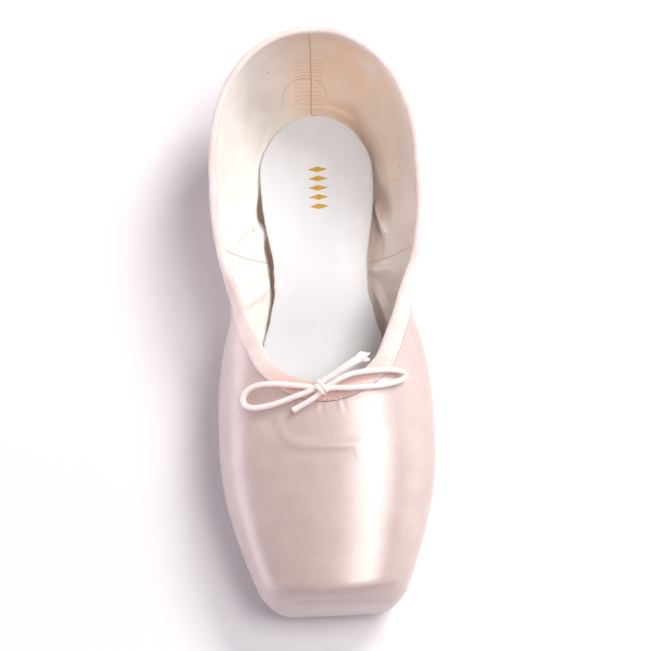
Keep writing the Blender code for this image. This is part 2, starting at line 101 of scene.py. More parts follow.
COLLAR = (
    Collar(0.000, 1.00, 0.00),
    Collar(0.060, 0.93, 0.00),
    Collar(0.160, 0.63, 0.00),
    Collar(0.260, 0.28, 0.00),
    Collar(0.350, 0.06, 0.00),
    Collar(0.420, 0.00, 0.00),
    Collar(0.480, 0.00, 0.13),
    Collar(0.560, 0.00, 0.50),
    Collar(0.620, 0.00, 0.82),
    Collar(0.660, 0.00, 1.00),
    Collar(1.000, 0.00, 1.00),
)
SOLE_OUTLINE = (
    Plate(0.000, 0.40),
    Plate(0.140, 0.43),
    Plate(0.210, 0.44),
    Plate(0.300, 0.36),
    Plate(0.380, 0.29),
    Plate(0.450, 0.30),
    Plate(0.530, 0.42),
    Plate(0.615, 0.55),
    Plate(0.690, 0.59),
    Plate(0.770, 0.57),
    Plate(0.860, 0.49),
    Plate(0.920, 0.42),
    Plate(1.000, 0.38),
)
INSOLE_OUTLINE = (
    Plate(0.000, 0.50),
    Plate(0.140, 0.53),
    Plate(0.190, 0.55),
    Plate(0.250, 0.54),
    Plate(0.320, 0.49),
    Plate(0.380, 0.445),
    Plate(0.420, 0.445),
    Plate(0.460, 0.485),
    Plate(0.520, 0.570),
    Plate(0.600, 0.640),
    Plate(0.690, 0.650),
    Plate(0.790, 0.630),
    Plate(0.870, 0.560),
    Plate(1.000, 0.450),
)


def fade(value: Array | float, start: float, end: float) -> Array:
    """Rise smoothly from 0 to 1.

    Args:
        value: Where to read the rise.
        start: The value at which it leaves 0.
        end: The value at which it reaches 1.

    Returns:
        The rise at each value.
    """
    t = np.clip((value - start) / (end - start), 0, 1)
    return t * t * (3 - 2 * t)


def runs(line: Array) -> Array:
    """Measure how far along a line each of its points lies.

    Args:
        line: Points along the first axis.

    Returns:
        The distance of each point from the first.
    """
    legs = np.linalg.norm(np.diff(line, axis=0), axis=-1)
    return np.concatenate([np.zeros((1, *legs.shape[1:])), np.cumsum(legs, axis=0)])


def through_points(route: Route, spacing: float) -> Array:
    """Read evenly spaced points from a smooth curve through a route.

    Args:
        route: Points in millimetres.
        spacing: The distance between the points read, in metres.

    Returns:
        The points in metres.
    """
    knots = np.array(route) * MM
    knots = np.vstack([2 * knots[0] - knots[1], knots, 2 * knots[-1] - knots[-2]])
    fine = []
    for before, start, end, after in zip(knots, knots[1:], knots[2:], knots[3:]):
        t = np.linspace(0, 1, 24, endpoint=False)[:, None]
        fine.append(0.5 * (2 * start + (end - before) * t
                           + (2 * before - 5 * start + 4 * end - after) * t ** 2
                           + (3 * start - before - 3 * end + after) * t ** 3))
    line = np.vstack([*fine, knots[-2:-1]])
    run = runs(line)
    goals = np.linspace(0, run[-1], max(3, round(run[-1] / spacing) + 1))
    return np.stack([np.interp(goals, run, line[:, axis]) for axis in range(3)], axis=1)


class SmoothCurve:
    """A curve that runs smoothly through one column of a table and never overshoots it."""

    def __init__(self, rows: tuple, column: str, length: float) -> None:
        """Work out the slopes at the table's rows.

        Args:
            rows: The table, whose first column is a share of the length.
            column: The name of the column to follow.
            length: The length that the shares are of.
        """
        self.stations = np.array([row.along for row in rows]) * length
        self.values = np.array([getattr(row, column) for row in rows])
        self.step = np.diff(self.stations)
        slope = np.diff(self.values) / self.step
        before, after = 2 * self.step[1:] + self.step[:-1], self.step[1:] + 2 * self.step[:-1]
        rising = slope[:-1] * slope[1:] > 0
        first, second = (np.where(rising, part, 1.0) for part in (slope[:-1], slope[1:]))
        self.tangent = np.zeros(len(self.values))
        self.tangent[1:-1] = np.where(rising, (before + after) / (before / first + after / second), 0)

    def __call__(self, station: Array | float) -> Array:
        """Read the curve.

        Args:
            station: Distances from the back of the heel.

        Returns:
            The column's value at each station.
        """
        station = np.clip(station, self.stations[0], self.stations[-1])
        row = np.clip(np.searchsorted(self.stations, station, side="right") - 1, 0, len(self.step) - 1)
        width = self.step[row]
        t = (station - self.stations[row]) / width
        start = (1 + 2 * t) * self.values[row] + t * width * self.tangent[row]
        end = (3 - 2 * t) * self.values[row + 1] + (t - 1) * width * self.tangent[row + 1]
        return start * (1 - t) ** 2 + end * t * t


@dataclass
class Last:
    """The form that the shoe is made on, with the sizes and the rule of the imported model."""

    length: float = 236 * MM
    ball_width: float = 86 * MM
    instep_height: float = 49 * MM
    heel_height: float = 56 * MM
    side_height: float = 41 * MM
    quarter_wall: float = 1.6 * MM
    box_wall: float = 3 * MM
    box_start: float = 118 * MM
    box_full: float = 150 * MM
    box_edge: float = 8 * MM
    box_depth: float = 26 * MM
    clearance: float = 0.3 * MM
    platform_lean: float = math.radians(8.5)
    platform_edge: float = 6 * MM
    feather_edge: float = 4 * MM
    top_roundness: float = 2.35
    heel_centre: float = 60 * MM
    heel_roundness: float = 2.1
    heel_bulge_height: float = 34 * MM
    heel_tuck: float = 14 * MM
    heel_tuck_roundness: float = 2.4
    heel_top_lean: float = 3 * MM
    sole_thickness: float = 2.5 * MM
    sole_margin: float = 5 * MM
    sole_back: float = 17 * MM
    sole_front: float = 221 * MM
    heel_flat: tuple[float, float] = (26 * MM, 62 * MM)
    ball_flat: tuple[float, float] = (130 * MM, 172 * MM)
    arch_rise: float = 3.5 * MM
    toe_spring: float = 5.5 * MM
    toe_spring_bend: float = 1.6
    heel_spring: float = 0.8 * MM
    insole_thickness: float = 2.6 * MM
    insole_back: float = 19.8 * MM
    insole_front: float = 214 * MM
    end_roundness: float = 2.1
    back_end: float = 26 * MM
    front_end: float = 12 * MM
    throat_front: float = 154 * MM
    throat_round_start: float = 139 * MM
    throat_start: float = 104 * MM
    throat_width_share: float = 0.96
    throat_narrowing: float = 0.36
    throat_roundness: float = 2.2
    heel_fan: float = 42 * MM
    bend_weight: float = 1.2

    def __post_init__(self) -> None:
        """Draw the curves that the tables give."""
        columns = {column: SmoothCurve(SECTIONS, column, self.length)
                   for column in ("half_width", "widest", "tuck", "crown", "fullness")}
        self.curves: dict[str, Callable] = columns
        self.heel_rise = SmoothCurve(COLLAR, "heel_rise", self.length)
        self.throat_rise = SmoothCurve(COLLAR, "throat_rise", self.length)
        self.sole_share = SmoothCurve(SOLE_OUTLINE, "half_width", self.length)
        self.insole_share = SmoothCurve(INSOLE_OUTLINE, "half_width", self.length)
        self.core_height = 0.45 * self.instep_height
        self.toe_fan = self.throat_front - 13 * MM

    def station(self, y: Array) -> Array:
        """Give the distance from the back of the heel."""
        return self.length / 2 - y

    def sole_underside(self, station: Array) -> Array:
        """Give the height of the sole's underside: two flats, an arch and the springs.

        Args:
            station: Distances from the back of the heel.

        Returns:
            The height at each station.
        """
        arch = np.clip((station - self.heel_flat[1]) / (self.ball_flat[0] - self.heel_flat[1]), 0, 1)
        toe = np.clip((station - self.ball_flat[1]) / (self.length - self.ball_flat[1]), 0, None)
        heel = np.clip(1 - station / self.heel_flat[0], 0, None)
        springs = self.toe_spring * toe ** self.toe_spring_bend + self.heel_spring * heel ** 2
        return self.arch_rise * np.sin(math.pi * arch) ** 2 + springs

    def upper_underside(self, station: Array) -> Array:
        """Give the height of the upper's underside, which lies on the sole."""
        return self.sole_underside(station) + self.sole_thickness + self.clearance

    def wall(self, station: Array, depth: Array | float) -> Array:
        """Give the wall's thickness.

        Args:
            station: Distances from the back of the heel.
            depth: Distances down the wall from the collar's edge.

        Returns:
            The thickness, from the soft quarters and collar to the stiff box.
        """
        stiff = fade(station, self.box_start, self.box_full) * fade(depth, self.box_edge, self.box_depth)
        return self.quarter_wall + (self.box_wall - self.quarter_wall) * stiff

    def collar_height(self, station: Array) -> Array:
        """Give the height of the collar, with its rise at the heel and at the throat."""
        return (self.side_height + (self.heel_height - self.side_height) * self.heel_rise(station)
                + (self.instep_height - self.side_height) * self.throat_rise(station))

    def half_width(self, station: Array) -> Array:
        """Give the greatest half width of a section."""
        return self.ball_width / 2 * self.curves["half_width"](station)

    def side_reach(self, station: Array, height: Array) -> Array:
        """Give a section's half width at a height, tucked in below its widest line.

        Args:
            station: Distances from the back of the heel.
            height: Heights above the floor.

        Returns:
            The half width at each.
        """
        widest = self.collar_height(station) * self.curves["widest"](station)
        below = np.clip((widest - height) / (widest - self.upper_underside(station)), 0, 1.3)
        return self.half_width(station) * (
            1 - self.curves["tuck"](station) * below ** self.curves["fullness"](station))

    def heel_back(self, height: Array) -> Array:
        """Give the heel's back line: tucked under the bulge, leaning in above it.

        Args:
            height: Heights above the floor.

        Returns:
            The station of the line at each.
        """
        floor = self.upper_underside(self.sole_back)
        bulge = self.heel_bulge_height
        below = np.clip((bulge - height) / (bulge - floor), 0, 1.3)
        above = np.clip((height - bulge) / (self.heel_height - bulge), 0, 1.5)
        return self.heel_tuck * below ** self.heel_tuck_roundness + self.heel_top_lean * above ** 2

    def form(self, points: Array) -> Array:
        """Give how far points lie outside the form, before its toe and underside are cut.

        Args:
            points: Places, with the coordinates along the last axis.

        Returns:
            The distance of each, negative inside.
        """
        station, height = self.station(points[..., 1]), points[..., 2]
        reach = self.side_reach(station, height)
        length = self.heel_centre - self.heel_back(height)
        widest = self.collar_height(station) * self.curves["widest"](station)
        dome = self.collar_height(station) * self.curves["crown"](station) - widest
        sideways = np.abs(points[..., 0]) / reach
        backwards = np.clip((self.heel_centre - station) / length, 0, None)
        upwards = np.clip((height - widest) / dome, 0, None)
        heel, top = self.heel_roundness, self.top_roundness
        plan = np.maximum(sideways ** heel + backwards ** heel, 1e-9)
        plan_power = plan ** (top / heel)
        size = (plan_power + upwards ** top) ** (1 / top)
        lean = plan_power / plan
        steep = np.sqrt((lean * sideways ** (heel - 1) / reach) ** 2
                        + (lean * backwards ** (heel - 1) / length) ** 2
                        + (upwards ** (top - 1) / dome) ** 2)
        return (size - 1) / np.maximum(steep * size ** (1 - top), 1 / self.length)

    def outside(self, points: Array) -> Array:
        """Give how far points lie outside the outer face of the upper.

        Args:
            points: Places, with the coordinates along the last axis.

        Returns:
            The distance of each, negative inside.
        """
        y, z = points[..., 1], points[..., 2]
        foot = self.upper_underside(self.length) + self.platform_edge
        platform = (z - foot) * math.sin(self.platform_lean) - (y + self.length / 2) * math.cos(
            self.platform_lean)
        form = rounded_cut(self.form(points), platform, self.platform_edge)
        return rounded_cut(form, self.upper_underside(self.station(y)) - z, self.feather_edge)

    def normals(self, points: Array) -> Array:
        """Give the unit normals of the outer face.

        Args:
            points: Places on it, with the coordinates along the last axis.

        Returns:
            The normal at each.
        """
        slope = np.empty(points.shape)
        for axis in range(3):
            shift = np.zeros(3)
            shift[axis] = 0.05 * MM
            slope[..., axis] = self.outside(points + shift) - self.outside(points - shift)
        return slope / np.linalg.norm(slope, axis=-1, keepdims=True)

    def on_lining(self, points: Array) -> Array:
        """Move points near the quarters' wall onto the face of their lining.

        Args:
            points: Places inside the shoe, near the wall.

        Returns:
            The places on the lining.
        """
        way = self.normals(points)
        reach = find_edge(lambda far: self.outside(points + far[:, None] * way),
                          np.full(len(points), -3 * MM), np.full(len(points), 8 * MM))
        outer = points + reach[:, None] * way
        return outer - (self.quarter_wall + 0.04 * MM) * self.normals(outer)

    def plate_half(self, station: Array, back: float, front: float, share: Callable) -> Array:
        """Give a plate's half width, with its two ends rounded off.

        Args:
            station: Distances from the back of the heel.
            back: The station of the plate's back end.
            front: The station of its front end.
            share: The curve of its half width, as a share of half the ball width.

        Returns:
            The half width at each station.
        """
        at_back = np.clip((back + self.back_end - station) / self.back_end, 0, 1)
        at_front = np.clip((station - front + self.front_end) / self.front_end, 0, 1)
        power = self.end_roundness
        ends = np.clip(1 - at_back ** power - at_front ** power, 0, 1)
        return self.ball_width / 2 * share(station) * ends ** (1 / power)

    def sole_half(self, station: Array) -> Array:
        """Give the sole's half width."""
        return self.plate_half(station, self.sole_back, self.sole_front, self.sole_share)

    def insole_half(self, station: Array) -> Array:
        """Give the insole's half width."""
        return self.plate_half(station, self.insole_back, self.insole_front, self.insole_share)

    def insole_top(self, station: Array) -> Array:
        """Give the height of the insole's upper face."""
        return (self.upper_underside(station) + self.wall(station, self.box_depth) + self.clearance
                + self.insole_thickness)

    def collar_half(self, station: Array) -> Array:
        """Give the half width of the collar's edge in plan.

        Args:
            station: Distances from the back of the heel.

        Returns:
            The half width at each.
        """
        back = np.clip((self.heel_centre - station) / (self.heel_centre - self.heel_top_lean), 0, 1)
        heel = self.half_width(station) * (1 - back ** self.heel_roundness) ** (1 / self.heel_roundness)
        width = self.half_width(self.throat_start) * self.throat_width_share
        width = width - self.throat_narrowing * (station - self.throat_start)
        front = np.clip((station - self.throat_round_start)
                        / (self.throat_front - self.throat_round_start), 0, 1)
        throat = width * (1 - front ** self.throat_roundness) ** 0.5
        return np.where(station < self.throat_start, heel, np.minimum(heel, throat))

    def plan_reach(self, half: Callable, inset: float, spine: Array, heading: Array) -> Array:
        """Give how far from the spine each rib's plane meets an outline in plan.

        Args:
            half: The outline's half width at a station.
            inset: How far the outline is drawn in.
            spine: The ribs' feet.
            heading: Their headings in plan.

        Returns:
            The reach of each rib.
        """
        def outside(reach: Array) -> Array:
            """Tell how far a reach lies outside the outline."""
            spot = spine[:, :2] + reach[:, None] * heading[:, :2]
            return np.abs(spot[:, 0]) - (half(self.station(spot[:, 1])) - inset)

        return find_edge(outside, np.zeros(len(spine)), np.full(len(spine), self.length / 2))

    def ribs_at(self, turns: Array) -> tuple[Array, Array]:
        """Give the foot and heading of the ribs at places along a track round the shoe.

        Args:
            turns: 0 to 1 fans round the heel, 1 to 2 runs down the left side, 2 to 3 fans round the toe
                and 3 to 4 comes back up the right side.

        Returns:
            The ribs' feet on the spine inside the shoe, and their headings in plan.
        """
        heel_y, toe_y = self.length / 2 - self.heel_fan, self.length / 2 - self.toe_fan
        part = np.minimum(turns.astype(int), 3)
        share = turns - part
        flat = np.ones(len(turns))
        angle = np.choose(part, [math.pi * share, math.pi * flat, math.pi * (1 + share), 2 * math.pi * flat])
        y = np.choose(part, [heel_y * flat, heel_y + (toe_y - heel_y) * share,
                             toe_y * flat, toe_y + (heel_y - toe_y) * share])
        spine = np.stack([0 * flat, y, self.core_height * flat], axis=1)
        return spine, np.stack([np.cos(angle), np.sin(angle), 0 * flat], axis=1)

    def meet(self, spine: Array, heading: Array, angle: Array) -> Array:
        """Give the points where rays from the spine leave the last.

        Args:
            spine: The rays' feet.
            heading: Their headings in plan.
            angle: How far each is raised.

        Returns:
            One point for each ray.
        """
        ray = np.cos(angle)[:, None] * heading
        ray[:, 2] = np.sin(angle)
        reach = find_edge(lambda far: self.outside(spine + far[:, None] * ray),
                          np.full(len(spine), 2 * MM), np.full(len(spine), self.length * 0.6))
        return spine + reach[:, None] * ray

    def track(self, ribs: int) -> tuple[Array, Array]:
        """Space the ribs along the outline, closer together at its corners.

        Args:
            ribs: How many there are.

        Returns:
            Their feet and their headings.
        """
        dense = np.linspace(0.5, 4.5, 2400, endpoint=False)
        spine, heading = self.ribs_at(dense % 4)
        places = spaced(self.meet(spine, heading, np.zeros(len(dense))), ribs, self.bend_weight, True)
        turns = np.interp(places, np.arange(len(dense) + 1), np.append(dense, 4.5))
        return self.ribs_at(turns % 4)

    def lines(self, ribs: int, steps: int, share: float = 1.0) -> Array:
        """Draw lines down the outer face from the collar's edge.

        Args:
            ribs: How many lines go round the shoe.
            steps: How many points each line has.
            share: How much of the way down to the edge under the foot they go.

        Returns:
            Points by step and rib.
        """
        spine, heading = self.track(ribs)
        collar = self.plan_reach(self.collar_half, 0, spine, heading)
        spot = spine + collar[:, None] * heading
        top = np.arctan2(self.collar_height(self.station(spot[:, 1])) - self.core_height, collar)
        opening = self.plan_reach(self.sole_half, self.sole_margin, spine, heading)
        spot = spine + opening[:, None] * heading
        bottom = np.arctan2(self.upper_underside(self.station(spot[:, 1])) - self.core_height, opening)
        return np.stack([self.meet(spine, heading, top + (bottom - top) * part)
                         for part in np.linspace(0, share, steps)])

    def rings(self, ribs: int, rings: int, steps: int = 170) -> Array:
        """Draw rings round the outer face, from the collar's edge to the edge under the foot.

        Args:
            ribs: How many points each ring has.
            rings: How many rings there are.
            steps: How finely the face is traced first.

        Returns:
            Points by ring and rib.
        """
        lines = self.lines(ribs, steps)
        made = np.empty((rings, ribs, 3))
        for rib in range(ribs):
            places = spaced(lines[:, rib], rings, 0.5)
            for axis in range(3):
                made[:, rib, axis] = np.interp(places, np.arange(steps), lines[:, rib, axis])
        return made


def rounded_cut(first: Array, second: Array, radius: float) -> Array:
    """Cut one form by another and round their common edge.

    Args:
        first: The distance outside the one form.
        second: The distance outside the other.
        radius: The radius of the edge.

    Returns:
        The distance outside what is left.
    """
    over = np.hypot(np.clip(first + radius, 0, None), np.clip(second + radius, 0, None))
    return np.minimum(-radius, np.maximum(first, second)) + over


def find_edge(outside: Callable, low: Array, high: Array, rounds: int = 22) -> Array:
    """Halve ranges until each has closed in on the place where a form ends.

    Args:
        outside: Tells how far values lie outside the form.
        low: Where the ranges start, inside it.
        high: Where they end, outside it.
        rounds: How often they are halved.

    Returns:
        The place in each range.
    """
    for _ in range(rounds):
        middle = (low + high) / 2
        out = outside(middle) > 0
        high = np.where(out, middle, high)
        low = np.where(out, low, middle)
    return (low + high) / 2


def spaced(points: Array, count: int, bend_weight: float, closed: bool = False) -> Array:
    """Give the places of samples along a line, closer together where it bends.

    Args:
        points: The line's points.
        count: How many samples to place.
        bend_weight: How strongly bends draw the samples together.
        closed: Whether the line closes on itself.

    Returns:
        The places, as fractional indices of the line's points.
    """
    line = np.vstack([points, points[:1]]) if closed else points
    leg = np.diff(line, axis=0)
    length = np.linalg.norm(leg, axis=1)
    heading = leg / length[:, None]
    turn = np.arccos(np.clip(np.sum(heading[1:] * heading[:-1], axis=1), -1, 1))
    turn = np.concatenate([[turn[0]], (turn[1:] + turn[:-1]) / 2, [turn[-1]]])
    pace = length / length.sum() + bend_weight * turn / turn.sum()
    travelled = np.concatenate([[0], np.cumsum(pace)]) / pace.sum()
    return np.interp(np.linspace(0, 1, count, endpoint=not closed), travelled, np.arange(len(line)))


@dataclass(frozen=True)
class Crease:
    """A soft trough or ridge: its route in millimetres, its width and its height."""

    route: Route
    width: float
    height: float

    def relief(self, points: Array) -> Array:
        """Give the height of the crease at points near it.

        Args:
            points: Places, with the coordinates along the last axis.

        Returns:
            The height at each, a bell across the crease that dies away at its ends.
        """
        line = through_points(self.route, 3 * MM)
        share = runs(line) / runs(line)[-1]
        nearest = np.full(points.shape[:-1], np.inf)
        along = np.zeros(points.shape[:-1])
        for start, end, first, last in zip(line, line[1:], share, share[1:]):
            leg = end - start
            t = np.clip(((points - start) @ leg) / (leg @ leg), 0, 1)
            far = np.linalg.norm(points - start - t[..., None] * leg, axis=-1)
            closer = far < nearest
            nearest = np.where(closer, far, nearest)
            along = np.where(closer, first + (last - first) * t, along)
        ends = np.sqrt(np.clip(np.sin(math.pi * np.clip(along, 0.0, 1.0)), 0, 1))
        return self.height * MM * ends * np.exp(-(nearest / (self.width * MM)) ** 2)


def placed(name: str, data: bpy.types.ID) -> bpy.types.Object:
    """Put a mesh, light or camera into the scene.

    Args:
        name: The object's name.
        data: What it shows.

    Returns:
        The object.
    """
    obj = bpy.data.objects.new(name, data)
    bpy.context.scene.collection.objects.link(obj)
    return obj


def mesh_piece(name: str, points: Array, faces: list, material: bpy.types.Material,
               uv: Array | None = None) -> bpy.types.Object:
    """Make a smooth mesh piece whose faces point outwards.

    Args:
        name: The piece's name.
        points: Its vertices.
        faces: Its faces, as lists of vertex numbers.
        material: Its finish.
        uv: The place of each face corner on the cloth, in metres, or None.

    Returns:
        The piece.
    """
    mesh = bpy.data.meshes.new(name)
    mesh.from_pydata(np.asarray(points, float).reshape(-1, 3).tolist(), [], faces)
    if uv is not None:
        layer = mesh.uv_layers.new(name="cloth")
        layer.data.foreach_set("uv", np.asarray(uv, np.float32).ravel())
    mesh.shade_smooth()
    mesh.materials.append(material)
    corners = np.array([mesh.vertices[v].co[:] for f in faces[:: max(1, len(faces) // 4000)] for v in f[:3]])
    first, second, third = corners.reshape(-1, 3, 3).transpose(1, 0, 2)
    if np.einsum("ij,ij->", first, np.cross(second, third)) < 0:
        mesh.flip_normals()
    return placed(name, mesh)


def grid_faces(rows: int, columns: int, wrap_rows: bool, wrap_columns: bool) -> Array:
    """List the four-sided faces between the points of a grid.

    Args:
        rows: How many rows the grid has.
        columns: How many columns.
        wrap_rows: Whether the last row joins the first.
        wrap_columns: Whether the last column joins the first.

    Returns:
        Faces by row, column and corner.
    """
    i = np.arange(rows if wrap_rows else rows - 1)[:, None]
    j = np.arange(columns if wrap_columns else columns - 1)[None, :]
    i2, j2 = (i + 1) % rows, (j + 1) % columns
    return np.stack([i * columns + j, i * columns + j2, i2 * columns + j2, i2 * columns + j], axis=-1)


def plate_body(rows: list[Array]) -> tuple[Array, list]:
    """Join rows of points that run round a plate's section, and close its two ends.

    Args:
        rows: One row for each point of the section, all of the same length.

    Returns:
        The vertices and the faces.
    """
    count = len(rows[0])
    faces = grid_faces(len(rows), count, True, False).reshape(-1, 4).tolist()
    first = [row * count for row in range(len(rows))]
    return np.concatenate(rows), faces + [first, [corner + count - 1 for corner in first[::-1]]]


def shell_piece(name: str, outer: Array, inner: Array, material: bpy.types.Material,
                outer_uv: Array) -> bpy.types.Object:
    """Join two walls of rings into one closed shell.

    Args:
        name: The piece's name.
        outer: Points by ring and rib of the wall that shows.
        inner: Points by ring and rib of the hidden wall, from the same edge.
        material: Its finish.
        outer_uv: The cloth's place at the corners of the outer wall's faces, by ring, rib and corner.

    Returns:
        The piece.
    """
    loop = np.concatenate([outer, inner[::-1]])
    faces = grid_faces(len(loop), loop.shape[1], True, True)
    uv = np.zeros((*faces.shape, 2))
    uv[: len(outer) - 1] = outer_uv
    return mesh_piece(name, loop, faces.reshape(-1, 4).tolist(), material, uv.reshape(-1, 2))


def corner_values(values: Array) -> Array:
    """Give the values at the four corners of the cells of a grid that has one column to spare."""
    return np.stack([values[:-1, :-1], values[:-1, 1:], values[1:, 1:], values[1:, :-1]], axis=2)


def tube(path: Array, radius: Array, sides: int, twist: float = 0.0, strands: int = 0,
         flute: float = 0.0) -> tuple[Array, list, Array]:
    """Sweep a round, slightly stranded section along a path and close its ends.

    Args:
        path: The centreline's points.
        radius: The radius at each.
        sides: How many sides the section has.
        twist: How far along the path its strands take one turn, in metres.
        strands: How many strands show in the section.
        flute: How deep the valleys between them are, as a share of the radius.

    Returns:
        The vertices, the faces and the cloth's place at each face corner.
    """
    heading = np.gradient(path, axis=0)
    heading /= np.linalg.norm(heading, axis=1, keepdims=True)
    side = np.cross(heading[0], [0.0, 0.0, 1.0])
    side = side if np.linalg.norm(side) > 0.1 else np.cross(heading[0], [0.0, 1.0, 0.0])
    across = []
    for way in heading:
        side = side - way * (side @ way)
        side = side / np.linalg.norm(side)
        across.append(side)
    across = np.array(across)
    up = np.cross(across, heading)
    run = runs(path)
    turn = np.linspace(0, 2 * math.pi, sides + 1)
    wind = 2 * math.pi * run / twist if twist else 0 * run
    size = radius[:, None] * (1 + flute * (np.abs(np.cos(strands * (turn + wind[:, None]) / 2)) - 0.6))
    ring = (path[:, None] + size[..., None] * (np.cos(turn)[None, :, None] * across[:, None]
                                               + np.sin(turn)[None, :, None] * up[:, None]))
    points = ring[:, :-1].reshape(-1, 3)
    faces = grid_faces(len(path), sides, False, True)
    place = np.stack(np.broadcast_arrays(run[:, None], turn * radius.mean()), axis=-1)
    uv = corner_values(place).reshape(-1, 2)
    last = (len(path) - 1) * sides
    points = np.vstack([points, path[:1] - heading[:1] * radius[0] * 0.25,
                        path[-1:] + heading[-1:] * radius[-1] * 0.25])
    caps = [[(j + 1) % sides, j, len(points) - 2] for j in range(sides)]
    caps += [[last + j, last + (j + 1) % sides, len(points) - 1] for j in range(sides)]
    uv = np.vstack([uv, np.zeros((len(caps) * 3, 2))])
    return points, faces.reshape(-1, 4).tolist() + caps, uv


def joined(parts: list[tuple[Array, list, Array]]) -> tuple[Array, list, Array]:
    """Join several bodies into one.

    Args:
        parts: The vertices, faces and cloth places of each.

    Returns:
        The vertices, faces and cloth places of all.
    """
    faces, shift = [], 0
    for points, some, _ in parts:
        faces += [[v + shift for v in face] for face in some]
        shift += len(points)
    return np.vstack([p for p, _, _ in parts]), faces, np.vstack([u for _, _, u in parts])


def linear(colour: str) -> tuple[float, float, float, float]:
    """Turn an sRGB hex colour into the linear colour that a shader takes.

    Args:
        colour: The colour, such as "#e6c8bf".

    Returns:
        Its linear red, green and blue, and full opacity.
    """
    parts = [int(colour[i:i + 2], 16) / 255 for i in (1, 3, 5)]
    return (*[p / 12.92 if p <= 0.04045 else ((p + 0.055) / 1.055) ** 2.4 for p in parts], 1.0)


def wire(tree: bpy.types.NodeTree, node: bpy.types.Node, inputs: dict) -> None:
    """Give a node's inputs their values and links.

    Args:
        tree: The tree that the node is in.
        node: The node.
        inputs: By the input's name or number: a value, a socket, or a node that stands for its first socket.
    """
    for key, value in inputs.items():
        if isinstance(value, bpy.types.Node):
            value = value.outputs[0]
        if isinstance(value, bpy.types.NodeSocket):
            tree.links.new(value, node.inputs[key])
        else:
            node.inputs[key].default_value = value


def add_node(tree: bpy.types.NodeTree, kind: str, inputs: dict | None = None, **settings) -> bpy.types.Node:
    """Add a node with its settings, values and links.

    Args:
        tree: The tree that the node joins.
        kind: The node's type.
        inputs: Its inputs, as wire takes them.
        **settings: The node's own properties.

    Returns:
        The node.
    """
    node = tree.nodes.new(kind)
    for name, value in settings.items():
        setattr(node, name, value)
    wire(tree, node, inputs or {})
    return node


@dataclass(frozen=True)
class Finish:
    """What all finishes share: a name, a lighter and a darker tone of the colour, and a roughness."""

    name: str
    colour: str
    shade: str
    roughness: float

    def material(self) -> bpy.types.Material:
        """Give the finish's material, which is made once.

        Returns:
            The material.
        """
        if self.name not in bpy.data.materials:
            material = bpy.data.materials.new(self.name)
            material.use_nodes = True
            shader = material.node_tree.nodes["Principled BSDF"]
            wire(material.node_tree, shader, {"Roughness": self.roughness})
            self.paint(material.node_tree, shader)
        return bpy.data.materials[self.name]

    def paint(self, tree: bpy.types.NodeTree, shader: bpy.types.Node) -> None:
        """Add the nodes of the finish to its tree."""
        raise NotImplementedError

    def laid_over(self, tree: bpy.types.NodeTree, colour: tuple | bpy.types.NodeSocket, tint: str,
                  *amounts: bpy.types.Node) -> bpy.types.NodeSocket:
        """Lay a tint over a colour, as strongly as the product of some patterns.

        Args:
            tree: The tree that the nodes join.
            colour: The colour below, as a value or a socket.
            tint: The hex colour on top.
            *amounts: The patterns, each from 0 to 1.

        Returns:
            The colour socket.
        """
        strength = amounts[0]
        for amount in amounts[1:]:
            strength = add_node(tree, "ShaderNodeMath", {0: strength, 1: amount}, operation="MULTIPLY")
        mix = add_node(tree, "ShaderNodeMix", {0: strength, 6: colour, 7: linear(tint)}, data_type="RGBA")
        return mix.outputs[2]

    def tone(self, tree: bpy.types.NodeTree, pattern: bpy.types.Node, low: float,
             high: float) -> bpy.types.NodeSocket:
        """Run from the finish's shade to its colour.

        Args:
            tree: The tree that the nodes join.
            pattern: The pattern that decides between the two.
            low: The pattern's value that gives the shade.
            high: Its value that gives the colour.

        Returns:
            The colour socket.
        """
        amount = add_node(tree, "ShaderNodeMapRange", {0: pattern, 1: low, 2: high})
        return self.laid_over(tree, linear(self.shade), self.colour, amount)


